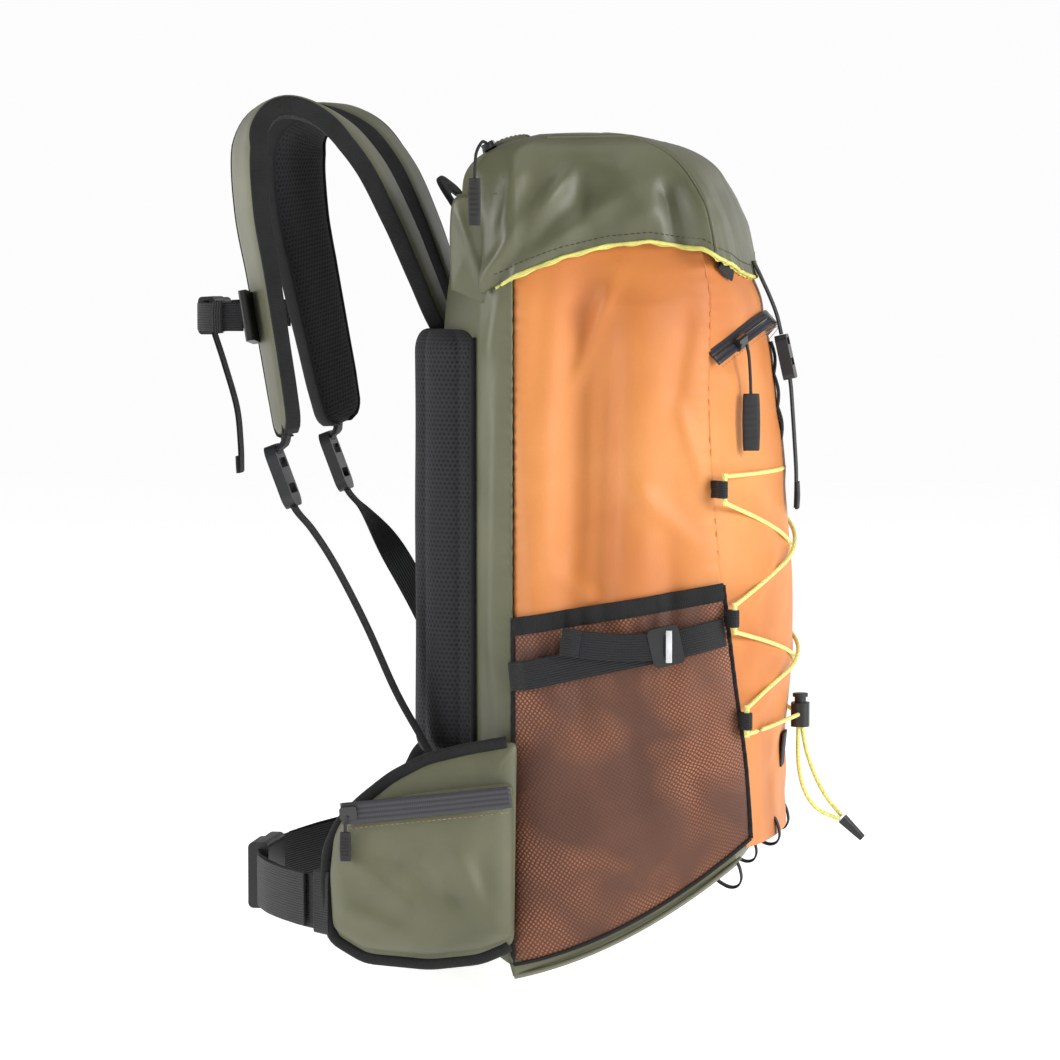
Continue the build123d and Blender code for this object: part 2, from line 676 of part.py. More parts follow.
NEAR_BAND = [(-119, -85), (-136, -84), (-149, -76), (-156, -64), (-156, -50), (-156, -28)]
STERNUM_TAIL = [(-141, -80, 163), (-133, -80, 142), (-123, -80, 105), (-122, -80, 66)]
with BuildPart() as sternum_webbing:
    loft(
        ribbon([(x, y, STERNUM_Z) for x, y in NEAR_BAND], WEB_NARROW, WEB_THICK, (0, 0, 1)),
        ruled=True,
    )
    loft(
        ribbon([(x, -y, STERNUM_Z) for x, y in NEAR_BAND[:5]], WEB_NARROW, WEB_THICK, (0, 0, 1)),
        ruled=True,
    )
    loft(ribbon(STERNUM_TAIL, WEB_NARROW - 4, WEB_THICK), ruled=True)
save(sternum_webbing.part, "sternum_webbing")

BUCKLE_HIGH, BUCKLE_DEEP = 27.0, 12.0
with BuildPart() as sternum_buckle_female:
    with BuildSketch(Plane.XZ.offset(2)):
        with Locations((STERNUM_X, STERNUM_Z)):
            RectangleRounded(BUCKLE_DEEP, BUCKLE_HIGH, 3)
    extrude(amount=36)
    with BuildSketch(Plane.XZ.offset(2)):
        with Locations((STERNUM_X, STERNUM_Z)):
            Rectangle(6.5, 21)
    extrude(amount=20, mode=Mode.SUBTRACT)
    with BuildSketch(Plane.XZ.offset(20)):
        with Locations((STERNUM_X, STERNUM_Z)):
            Rectangle(WEB_THICK + 2, WEB_NARROW + 1.6)
    extrude(amount=18, mode=Mode.SUBTRACT)
    with BuildSketch(Plane.YZ.offset(STERNUM_X - BUCKLE_DEEP / 2 - 1)):
        with Locations((-30, STERNUM_Z)):
            Rectangle(6, WEB_NARROW + 1.6)
    extrude(amount=BUCKLE_DEEP + 2, mode=Mode.SUBTRACT)
save(sternum_buckle_female.part, "sternum_buckle_female")

with BuildPart() as sternum_buckle_male:
    with BuildSketch(Plane.XZ.offset(-24)):
        with Locations((STERNUM_X, STERNUM_Z)):
            RectangleRounded(10, 25, 3)
    extrude(amount=24)
    with BuildSketch(Plane.XZ.offset(-25)):
        with Locations((STERNUM_X, STERNUM_Z)):
            Rectangle(WEB_THICK + 2, WEB_NARROW + 1.6)
    extrude(amount=12, mode=Mode.SUBTRACT)
    with BuildSketch(Plane.XZ):
        with Locations((STERNUM_X, STERNUM_Z - 7.2), (STERNUM_X, STERNUM_Z + 7.2)):
            Rectangle(4.5, 4.5)
        with Locations((STERNUM_X, STERNUM_Z)):
            Rectangle(4.5, 2.5)
    extrude(amount=18)
save(sternum_buckle_male.part, "sternum_buckle_male")

# ---------------------------------------------------------------- hip belt
WING = [(2, -113), (-32, -119), (-60, -126), (-84, -139), (-104, -155), (-119, -170),
        (-128, -190), (-129, -215), (-125, -250), (-102, -264), (-58, -268), (-23, -264),
        (0, -254)]
POCKET = [(0, -138), (-60, -146), (-112, -156), (-123, -178), (-126, -205), (-124, -243),
          (-103, -256), (-58, -260), (-23, -256), (0, -246)]
POCKET_HOLLOW = [(-6, -150), (-60, -156), (-112, -164), (-118, -184), (-120, -210),
                 (-118, -238), (-101, -250), (-58, -254), (-23, -250), (-6, -242)]
ZIP_LEFT, ZIP_RIGHT = (-116, -161.5), (0, -149)
ZIP_TILT = math.degrees(math.atan2(ZIP_RIGHT[1] - ZIP_LEFT[1], ZIP_RIGHT[0] - ZIP_LEFT[0]))


def wing_polygon(points, rise):
    """Points of a wing as a closed line in the wing's plane, its tip raised by a slope."""
    return Polyline(*[(x * WING_STRETCH, z - rise * x) for x, z in points], close=True)


def wing_spot(x, z, rise, turn=0.0):
    """A place in the wing's plane, raised like the wing."""
    return Location((x * WING_STRETCH, z - rise * x, 0), (0, 0, turn))


ZIP_FACE = WING_PLANE.offset(WING_THICK + POCKET_THICK)
ZIP_MIDDLE = ((ZIP_LEFT[0] + ZIP_RIGHT[0]) / 2, (ZIP_LEFT[1] + ZIP_RIGHT[1]) / 2)
HIP_BAND = [(-48.4, -160), (-60, -149), (-79, -124), (-98, -92), (-114, -58), (-120.5, -34)]
HIP_RISE = {"left": 0.0, "right": 0.09}     # the wearer's right wing is posed a little higher


def mirrored(part, side):
    """The part itself on the wearer's left, its mirror image on the right."""
    return part if side == "left" else mirror(part, about=Plane.XZ, mode=Mode.PRIVATE)


for side, rise in HIP_RISE.items():
    zip_turn = ZIP_TILT - math.degrees(math.atan(rise))
    with BuildPart() as hip_wing:
        with BuildSketch(WING_PLANE):
            with BuildLine():
                wing_polygon(WING, rise)
            make_face()
        extrude(amount=WING_THICK)
    save(mirrored(hip_wing.part, side), f"hip_wing_{side}")

    with BuildPart() as hip_pocket:
        with BuildSketch(WING_PLANE.offset(WING_THICK)):
            with BuildLine():
                wing_polygon(POCKET, rise)
            make_face()
        extrude(amount=POCKET_THICK)
        with BuildSketch(WING_PLANE.offset(WING_THICK)):
            with BuildLine():
                wing_polygon(POCKET_HOLLOW, rise)
            make_face()
        extrude(amount=POCKET_THICK - 1.6, mode=Mode.SUBTRACT)
        with BuildSketch(WING_PLANE.offset(WING_THICK)):
            with Locations(wing_spot(-58, -160.5, rise, zip_turn)):
                Rectangle(92, 9)
        extrude(amount=POCKET_THICK, mode=Mode.SUBTRACT)
    save(mirrored(hip_pocket.part, side), f"hip_pocket_{side}")

    with BuildPart() as hip_zip_tape:
        with BuildSketch(ZIP_FACE):
            with Locations(wing_spot(*ZIP_MIDDLE, rise, zip_turn)):
                Rectangle(114, ZIP_TAPE)
        extrude(amount=1.2)
    save(mirrored(hip_zip_tape.part, side), f"hip_zip_tape_{side}")

    with BuildPart() as hip_zip_slider:
        with BuildSketch(ZIP_FACE.offset(1.6)):
            with Locations(wing_spot(-112, -161.2, rise, zip_turn)):
                RectangleRounded(12, 9, 2)
        extrude(amount=4)
    save(mirrored(hip_zip_slider.part, side), f"hip_zip_slider_{side}")

    with BuildPart() as hip_zip_pull:
        with BuildSketch(ZIP_FACE.offset(2)):
            with Locations(wing_spot(-114, -181, rise)):
                RectangleRounded(8, 28, 3)
        extrude(amount=2.5)
    save(mirrored(hip_zip_pull.part, side), f"hip_zip_pull_{side}")

    with BuildPart() as hip_webbing:
        steps = len(HIP_BAND) - 1
        band = [(x, y, HIP_Z + (2 + 120 * rise) * (1 - i / steps) ** 2)
                for i, (x, y) in enumerate(HIP_BAND)]
        loft(ribbon(band, WEB_WIDE, WEB_THICK, (0, 0, 1)), ruled=True)
    save(mirrored(hip_webbing.part, side), f"hip_webbing_{side}")

HIP_HIGH, HIP_DEEP = 48.0, 15.0
with BuildPart() as hip_buckle_female:
    with BuildSketch(Plane.XZ.offset(1)):
        with Locations((HIP_X, HIP_Z)):
            RectangleRounded(HIP_DEEP, HIP_HIGH, 4)
    extrude(amount=32)
    with BuildSketch(Plane.XZ.offset(1)):
        with Locations((HIP_X, HIP_Z)):
            Rectangle(9.5, 40)
    extrude(amount=24, mode=Mode.SUBTRACT)
save(hip_buckle_female.part, "hip_buckle_female")

with BuildPart() as hip_buckle_male:
    with BuildSketch(Plane.XZ.offset(-33)):
        with Locations((HIP_X, HIP_Z)):
            RectangleRounded(13, 45, 4)
    extrude(amount=33)
    with BuildSketch(Plane.XZ):
        with Locations((HIP_X, HIP_Z - 13), (HIP_X, HIP_Z + 13)):
            Rectangle(4.5, 7)
        with Locations((HIP_X, HIP_Z)):
            Rectangle(4.5, 4)
    extrude(amount=20)
save(hip_buckle_male.part, "hip_buckle_male")

# ---------------------------------------------------------------- side pockets and straps
SIDE_POCKET = [(5, 20), (137, 20), (137, -6), (142, -48), (150, -106), (156, -163),
               (156, -182), (136, -199), (90, -220), (50, -238), (8, -252)]
POCKET_MOUTH = [(-10, -31), (63, -20), (107, -14), (160, -3), (160, 60), (-10, 60)]
POCKET_OUT = 14.0
POCKET_TAPER = 25.0


def side_polygon(points):
    """A closed line in the side panel's plane."""
    return Polyline(*[(s * SIDE_STRETCH, z) for s, z in points], close=True)


with BuildPart() as side_pocket_left:
    with BuildSketch(SIDE_PLANE):
        with BuildLine():
            side_polygon(SIDE_POCKET)
        make_face()
    extrude(amount=POCKET_OUT, taper=POCKET_TAPER)
    with BuildSketch(SIDE_PLANE) as pocket_hollow:
        with BuildLine():
            side_polygon(SIDE_POCKET)
        make_face()
        offset(amount=-2.5, kind=Kind.INTERSECTION)
    extrude(pocket_hollow.sketch, amount=POCKET_OUT - 2, taper=POCKET_TAPER, mode=Mode.SUBTRACT)
    with BuildSketch(SIDE_PLANE) as pocket_mouth:
        with BuildLine():
            side_polygon(POCKET_MOUTH)
        make_face()
    extrude(pocket_mouth.sketch, amount=2 * POCKET_OUT, mode=Mode.SUBTRACT)
save(side_pocket_left.part, "side_pocket_left")

with BuildPart() as side_pocket_right:
    mirror(side_pocket_left.part, about=Plane.XZ)
save(side_pocket_right.part, "side_pocket_right")


def side_point(s, z, out):
    """A point over the side panel: distance along it, height, and distance off it."""
    point = SIDE_PLANE.from_local_coords(Vector(s * SIDE_STRETCH, z, out))
    return point.X, point.Y, point.Z


COMPRESSION = [(-6, -70, 1.1), (2, -69, 6), (7, -68, 15.3), (40, -61, 15.3), (104, -48, 15.3),
               (136, -41, 15.3)]
SIDE_NORMAL = (SIDE_SLOPE, -1, 0)
with BuildPart() as compression_straps:
    loft(
        ribbon([side_point(*p) for p in COMPRESSION], WEB_NARROW, WEB_THICK, (0, 0, 1)),
        ruled=True,
    )
    mirror(about=Plane.XZ)
save(compression_straps.part, "compression_straps")

BUCKLE_SPOT = SIDE_PLANE.offset(16.3)
with BuildPart() as compression_ladderlocks:
    with BuildSketch(BUCKLE_SPOT):
        with Locations(Location((104, -47.5, 0), (0, 0, 13))):
            RectangleRounded(22, 27, 4)
    extrude(amount=6)
    mirror(about=Plane.XZ)
save(compression_ladderlocks.part, "compression_ladderlocks")
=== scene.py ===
# %% [markdown]
# # A top-loading daypack, as a lesson in cells
# The frame holds every part of the pack at its real size and place: panels, pads, buckles and
# joints. Its soft parts are plain solids. Here each of them gets a sewn skin, made from arrays of
# points, and each surface gets a cloth, webbing, zip or plastic finish worked out by nodes.

# %% Load the frame
import math

import bmesh
import bpy
import numpy as np
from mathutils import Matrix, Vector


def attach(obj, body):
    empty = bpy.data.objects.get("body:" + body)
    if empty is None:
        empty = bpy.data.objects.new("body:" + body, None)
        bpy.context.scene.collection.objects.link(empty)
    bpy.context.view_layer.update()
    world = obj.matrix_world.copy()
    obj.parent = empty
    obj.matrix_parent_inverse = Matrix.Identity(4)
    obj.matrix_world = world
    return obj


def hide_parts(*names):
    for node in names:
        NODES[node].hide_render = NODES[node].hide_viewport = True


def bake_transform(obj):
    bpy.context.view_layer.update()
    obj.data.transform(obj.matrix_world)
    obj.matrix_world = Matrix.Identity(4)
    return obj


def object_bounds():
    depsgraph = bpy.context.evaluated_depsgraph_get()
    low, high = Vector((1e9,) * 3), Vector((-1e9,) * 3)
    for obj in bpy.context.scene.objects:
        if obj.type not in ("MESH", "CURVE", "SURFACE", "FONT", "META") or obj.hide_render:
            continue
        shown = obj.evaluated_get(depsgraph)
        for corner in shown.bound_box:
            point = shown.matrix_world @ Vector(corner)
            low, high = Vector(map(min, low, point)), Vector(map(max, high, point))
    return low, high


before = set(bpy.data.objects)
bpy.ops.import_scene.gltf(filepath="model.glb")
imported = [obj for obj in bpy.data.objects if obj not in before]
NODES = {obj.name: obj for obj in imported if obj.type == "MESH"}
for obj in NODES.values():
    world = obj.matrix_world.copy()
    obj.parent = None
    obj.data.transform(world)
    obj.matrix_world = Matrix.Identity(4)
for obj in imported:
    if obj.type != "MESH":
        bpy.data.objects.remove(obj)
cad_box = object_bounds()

MM = 0.001
print("frame box", [[round(v, 4) for v in corner] for corner in cad_box])

# %% [markdown]
# ## The pack's own measures
# A bag is cut from flat panels, but its shape is set by a few closed sections, one above the
# other. Each section is a line through five places on the half outline: the middle of the back,
# the edge of the back, the rear seam, the front seam and the middle of the front. The same
# sections serve every panel, so that neighbours meet on one seam line.

# %% Levels of the bag and of the lid
SEAM_X, SEAM_Y, SIDE_SLOPE = 80.0, 137.0, 0.19
CORNER_X, CORNER_Y, REAR_HALF = 56.0, 124.0, 80.0
SIDES = ((-1, "left"), (1, "right"))
# the panels' top edge, the lowest height at which the front seam is read, and the way from the
# base's lowest line up to the side panel's edge
RIM_Z, SEAM_LOW_Z, BASE_EDGE = 233, -186, 13
# height, rear X, front seam X, front middle X
BAG_LEVELS = np.array([
    (-279, 40, 229, 233), (-263, 22, 243, 246), (-140, 22, 238, 254), (-70, 22, 229, 260),
    (0, 22, 221, 259), (130, 22, 213, 247), (188, 26, 214, 238), (236, 33, 205, 213),
], float)
REAR, FRONT_SEAM, NOSE = 0, 1, 2
# height, rear X, rear half width, corner X and Y, seam X, side offset, front seam X, front X
LID_LEVELS = np.array([
    (190, 56, 100, 60, 131, 80, 5, 217, 238), (235, 50, 100, 60, 131, 80, 5, 211, 226),
    (262, 41, 105, 55, 128, 80, 1, 203, 214), (285, 50, 104, 58, 121, 80, -7, 188, 199),
    (297, 72, 104, 78, 114, 90, -15, 168, 178), (303, 92, 90, 97, 99, 105, -27, 150, 158),
], float)


def side_y(x):
    """Half width of the bag: the seam's half width, less the slope times the way forward."""
    return SEAM_Y - SIDE_SLOPE * (np.asarray(x, float) - SEAM_X)


def smooth_at(values, knots, table):
    """Monotone cubic through a table: each interval blends its two ends and their slopes."""
    values = np.clip(np.asarray(values, float), knots[0], knots[-1])
    step = np.diff(knots)[:, None]
    rise = np.diff(table, axis=0) / step
    slope = np.vstack([rise[:1], (rise[:-1] + rise[1:]) / 2, rise[-1:]])
    turned = np.vstack([rise[:1] * 0 + 1, rise[:-1] * rise[1:], rise[:1] * 0 + 1]) <= 0
    slope = np.where(turned, 0.0, slope)
    i = np.clip(np.searchsorted(knots, values, side="right") - 1, 0, len(knots) - 2)
    t = ((values - knots[i]) / (knots[i + 1] - knots[i]))[..., None]
    h = (knots[i + 1] - knots[i])[..., None]
    return ((2 * t**3 - 3 * t**2 + 1) * table[i] + (t**3 - 2 * t**2 + t) * h * slope[i]
            + (3 * t**2 - 2 * t**3) * table[i + 1] + (t**3 - t**2) * h * slope[i + 1])


def bag_at(z):
    """Rear X, front seam X and front X of the bag at a height."""
    return smooth_at(z, BAG_LEVELS[:, 0], BAG_LEVELS[:, 1:])


print("bag at mid height", np.round(bag_at(np.array([0.0]))[0], 1))

# %% [markdown]
# ## Points into meshes
# Every new piece is a grid of points: rows one way, columns the other. One function turns such a
# grid into a mesh, with a map whose units are metres along the surface, so that a weave keeps
# its size on every piece. Open edges get their thickness from a Solidify modifier.

# %% Grid to mesh
def placed(name, data):
    """One object of a mesh, curve, light or camera, in the scene, at the origin and unturned."""
    piece = bpy.data.objects.new(name, data)
    bpy.context.scene.collection.objects.link(piece)
    return piece


def arc_map(points, wrap):
    """Map of a grid: distance along each row, and distance down each column, in metres."""
    grid = np.concatenate([points, points[:, :1]], axis=1) if wrap else points
    across = np.linalg.norm(np.diff(grid, axis=1), axis=2)
    down = np.linalg.norm(np.diff(grid, axis=0), axis=2)
    u = np.concatenate([np.zeros((len(grid), 1)), np.cumsum(across, axis=1)], axis=1)
    middle = down.mean(axis=1)
    v = np.concatenate([[0.0], np.cumsum(middle)])[:, None] + np.zeros_like(u)
    return np.stack([u, v], axis=2) * MM


def surface(name, points, wrap=False, faces_slot=None):
    """Mesh of a grid in millimetres; wrap joins the last column to the first, and poles merge."""
    points = np.asarray(points, float)
    rows, columns = points.shape[:2]
    uv = arc_map(points, wrap)
    i, j = np.meshgrid(np.arange(rows - 1), np.arange(columns if wrap else columns - 1),
                       indexing="ij")
    k = (j + 1) % columns
    quads = np.stack([i * columns + j, i * columns + k, (i + 1) * columns + k,
                      (i + 1) * columns + j], axis=2).reshape(-1, 4)
    corners = np.stack([uv[i, j], uv[i, j + 1], uv[i + 1, j + 1], uv[i + 1, j]], axis=2)
    mesh = bpy.data.meshes.new(name)
    mesh.from_pydata((points.reshape(-1, 3) * MM).tolist(), [], quads.tolist())
    layer = mesh.uv_layers.new(name="UVMap")
    layer.data.foreach_set("uv", corners.reshape(-1).astype(np.float32))
    mesh.polygons.foreach_set("use_smooth", np.ones(len(quads), bool))
    if faces_slot is not None:
        mesh.polygons.foreach_set("material_index", np.asarray(faces_slot, np.int32).reshape(-1))
    poles = bmesh.new()
    poles.from_mesh(mesh)
    bmesh.ops.remove_doubles(poles, verts=poles.verts, dist=2e-6)
    poles.to_mesh(mesh)
    poles.free()
    mesh.update()
    return placed(name, mesh)


def joined(name, pieces):
    """One object from several new ones, material slots and maps kept."""
    bpy.ops.object.select_all(action="DESELECT")
    for piece in pieces:
        piece.select_set(True)
    bpy.context.view_layer.objects.active = pieces[0]
    bpy.ops.object.join()
    pieces[0].name = name
    pieces[0].data.name = name
    return pieces[0]


def thick(piece, millimetres, offset=-1.0):
    """Gives a sheet its thickness, inwards from its outer face unless offset says otherwise."""
    solid = piece.modifiers.new("thickness", "SOLIDIFY")
    solid.thickness = millimetres * MM
    solid.offset = offset
    solid.use_even_offset = False
    return piece


def dressed(piece, body, materials, stands_for=(), across=None):
    """Puts finishes on a piece, rides it on its body, or with across given bakes its place and
    leaves it on no body, and hides what it replaces.
    """
    for material in materials if isinstance(materials, (list, tuple)) else [materials]:
        piece.data.materials.append(material)
    if across is None:
        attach(piece, body)
    else:
        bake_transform(piece)
    if stands_for:
        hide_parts(*stands_for)
    faces = len(piece.data.polygons) if piece.type == "MESH" else 0
    print(f"{piece.name}: {faces} faces on {body}")
    return piece


# %% [markdown]
# ## Profiles carried along a path
# Straps, webbing, piping, zips and stitches are all a small closed profile carried along a line.
# The line is smoothed with a Catmull-Rom curve, which passes through its points, and the profile
# stands square to it. A direction across the strap keeps it from twisting.

# %% Paths and sweeps
def curve_through(points, count):
    """Catmull-Rom curve through points, resampled at equal steps along its length."""
    p = np.asarray(points, float)
    p = np.vstack([2 * p[0] - p[1], p, 2 * p[-1] - p[-2]])
    t = np.linspace(0, len(p) - 3, 24 * (len(p) - 3) + 1)[:, None]
    i = np.minimum(t.astype(int), len(p) - 4)[:, 0]
    f = t - i[:, None]
    a, b, c, d = p[i], p[i + 1], p[i + 2], p[i + 3]
    line = 0.5 * (2 * b + (c - a) * f + (2 * a - 5 * b + 4 * c - d) * f**2
                  + (3 * b - a - 3 * c + d) * f**3)
    way = np.concatenate([[0], np.cumsum(np.linalg.norm(np.diff(line, axis=0), axis=1))])
    at = np.linspace(0, way[-1], count)
    return np.stack([np.interp(at, way, line[:, k]) for k in range(3)], axis=1)


def unit(vectors):
    """Each vector divided by its length."""
    return vectors / np.maximum(np.linalg.norm(vectors, axis=-1, keepdims=True), 1e-9)


def sweep(name, path, profile, across, scale=None, faces_slot=None):
    """A closed profile (across, out) carried along a path, each end closed on the path's point."""
    path = np.asarray(path, float)
    profile = np.asarray(profile, float)
    tangent = unit(np.gradient(path, axis=0))
    across = np.broadcast_to(np.asarray(across, float), path.shape)
    side = unit(across - tangent * np.sum(across * tangent, axis=1, keepdims=True))
    out = np.cross(side, tangent)
    if scale is None:
        scale = np.ones((len(path), 2))
    grid = (path[:, None] + side[:, None] * (profile[None, :, :1] * scale[:, None, :1])
            + out[:, None] * (profile[None, :, 1:] * scale[:, None, 1:]))
    start, end = path[:1, None] + 0 * grid[:1], path[-1:, None] + 0 * grid[:1]
    grid = np.concatenate([start, grid, end])
    if faces_slot is not None:
        faces_slot = np.concatenate([faces_slot[:1], faces_slot, faces_slot[-1:]])
    return surface(name, grid, wrap=True, faces_slot=faces_slot)


def ring(radius, sides=10):
    """A circle of points."""
    angle = np.linspace(0, 2 * math.pi, sides, endpoint=False)
    return np.stack([radius * np.cos(angle), radius * np.sin(angle)], axis=1)


def slab(width, thickness, round_to=4.0, count=28):
    """A flat strip's section: a superellipse, nearly square at the corners."""
    angle = np.linspace(0, 2 * math.pi, count, endpoint=False)
    c, s = np.cos(angle), np.sin(angle)
    return np.stack([width / 2 * np.sign(c) * np.abs(c) ** (2 / round_to),
                     thickness / 2 * np.sign(s) * np.abs(s) ** (2 / round_to)], axis=1)


def tube(name, points, radius, count=60, sides=10, across=(0.3, 0.5, 0.8)):
    """A round cord or piping through points, with closed ends."""
    return sweep(name, curve_through(points, count), ring(radius, sides), across)


def band(name, points, width, thickness, across, count=60, round_to=6.0):
    """A flat webbing through points, its width along the direction across."""
    return sweep(name, curve_through(points, count), slab(width, thickness, round_to), across)


BEAD_ALONG = np.array([0.0, 0.12, 0.5, 0.88, 1.0])
BEAD_SIZE = np.array([0.05, 0.8, 1.0, 0.8, 0.05])
BEAD_SIDES = 6


def stitches(name, points, normal, pitch=4.0, length=2.6, radius=0.35):
    """A row of stitches: short beads in line, each one five rings that swell and close again."""
    points = np.asarray(points, float)
    way = np.concatenate([[0], np.cumsum(np.linalg.norm(np.diff(points, axis=0), axis=1))])
    start = np.arange(pitch / 2, way[-1] - length, pitch)
    along = start[:, None] + length * BEAD_ALONG[None]
    line = np.stack([np.interp(along, way, points[:, k]) for k in range(3)], axis=2)
    out = np.broadcast_to(np.asarray(normal, float), points.shape)
    out = unit(np.stack([np.interp(along, way, out[:, k]) for k in range(3)], axis=2))
    tangent = unit(np.gradient(line, axis=1))
    side = np.cross(tangent, out)
    size = radius * BEAD_SIZE
    angle = np.linspace(0, 2 * math.pi, BEAD_SIDES, endpoint=False)
    grid = (line[:, :, None] + out[:, :, None] * (size[None, :, None] * np.sin(angle))[..., None]
            + side[:, :, None] * (size[None, :, None] * np.cos(angle))[..., None])
    cell = np.arange(len(BEAD_SIZE) * BEAD_SIDES).reshape(-1, BEAD_SIDES)
    turned = np.roll(cell, -1, axis=1)
    quads = np.stack([cell[:-1], turned[:-1], turned[1:], cell[1:]], axis=2).reshape(-1, 4)
    faces = (quads[None] + cell.size * np.arange(len(start))[:, None, None]).reshape(-1, 4)
    mesh = bpy.data.meshes.new(name)
    mesh.from_pydata((grid.reshape(-1, 3) * MM).tolist(), [], faces.tolist())
    mesh.polygons.foreach_set("use_smooth", np.ones(len(faces), bool))
    mesh.update()
    return placed(name, mesh)


print("helpers ready")

# %% [markdown]
# ## Camera
# The pack is looked at from its left, a little from the front and a little from above, through a
# long lens, so that its far side hardly shrinks.

# %% Camera
AZIMUTH, ELEVATION = math.radians(8), math.radians(4)
DISTANCE, VIEW_WIDTH = 3.0, 0.7632
target = np.array([0.0727, 0.0, 0.0217])
away = np.array([math.sin(AZIMUTH) * math.cos(ELEVATION),
                 -math.cos(AZIMUTH) * math.cos(ELEVATION), math.sin(ELEVATION)])
lens = bpy.data.cameras.new("camera")
lens.sensor_width = 36
lens.lens = 36 * DISTANCE / VIEW_WIDTH
camera = placed("camera", lens)
camera.location = target + DISTANCE * away
camera.rotation_euler = (math.pi / 2 - ELEVATION, 0, AZIMUTH)
bpy.context.scene.camera = camera
print("lens", round(lens.lens, 1))

# %% [markdown]
# ## Cords
# The lock at the bottom of the lacing lets out two ends of shock cord, which hang limp and meet
# in one moulded end. Each is a round curve on a NURBS line whose control points are the cord's
# own route, so that it bends evenly and keeps its length.

# %% The two loose ends of the lace
CORD_THICK = 3.0
LOCK_X, LOCK_Z = 268.0, -108.0
TAIL_TOP = LOCK_Z - 9
TAIL_ROUTES = {
    "cord_tail_left": [
        (LOCK_X - 1, -3.5, TAIL_TOP), (LOCK_X - 1.5, -5, TAIL_TOP - 16),
        (LOCK_X, -7, TAIL_TOP - 34), (LOCK_X + 5, -6, TAIL_TOP - 50),
        (LOCK_X + 15, -4, TAIL_TOP - 62), (LOCK_X + 29, -2.6, TAIL_TOP - 66),
    ],
    "cord_tail_right": [
        (LOCK_X + 1, 3.5, TAIL_TOP), (LOCK_X + 3, 5, TAIL_TOP - 15),
        (LOCK_X + 8, 6.5, TAIL_TOP - 31), (LOCK_X + 15, 5, TAIL_TOP - 46),
        (LOCK_X + 22, 3.4, TAIL_TOP - 56), (LOCK_X + 30, 2.2, TAIL_TOP - 64.5),
    ],
}


def cord_curve(name, route):
    """A round cord on one open NURBS line, its route's points as control points."""
    data = bpy.data.curves.new(name, "CURVE")
    data.dimensions = "3D"
    data.bevel_depth = CORD_THICK / 2 * MM
    data.bevel_resolution = 4
    data.use_fill_caps = True
    line = data.splines.new("NURBS")
    line.points.add(len(route) - 1)
    places = np.column_stack([np.array(route) * MM, np.ones(len(route))])
    line.points.foreach_set("co", places.reshape(-1))
    line.order_u = 3
    line.use_endpoint_u = True
    line.resolution_u = 24
    return placed(name, data)


tails = {name: cord_curve("shock_" + name, route) for name, route in TAIL_ROUTES.items()}
print("cord ends", list(tails))

# %% [markdown]
# ## Finishes
# All finishes are worked out by nodes on the surface's own map (in metres) or on object
# coordinates. A small helper adds a node, sets its inputs and links it, so that each finish
# reads as a short recipe: a colour that varies, a roughness, and a relief.

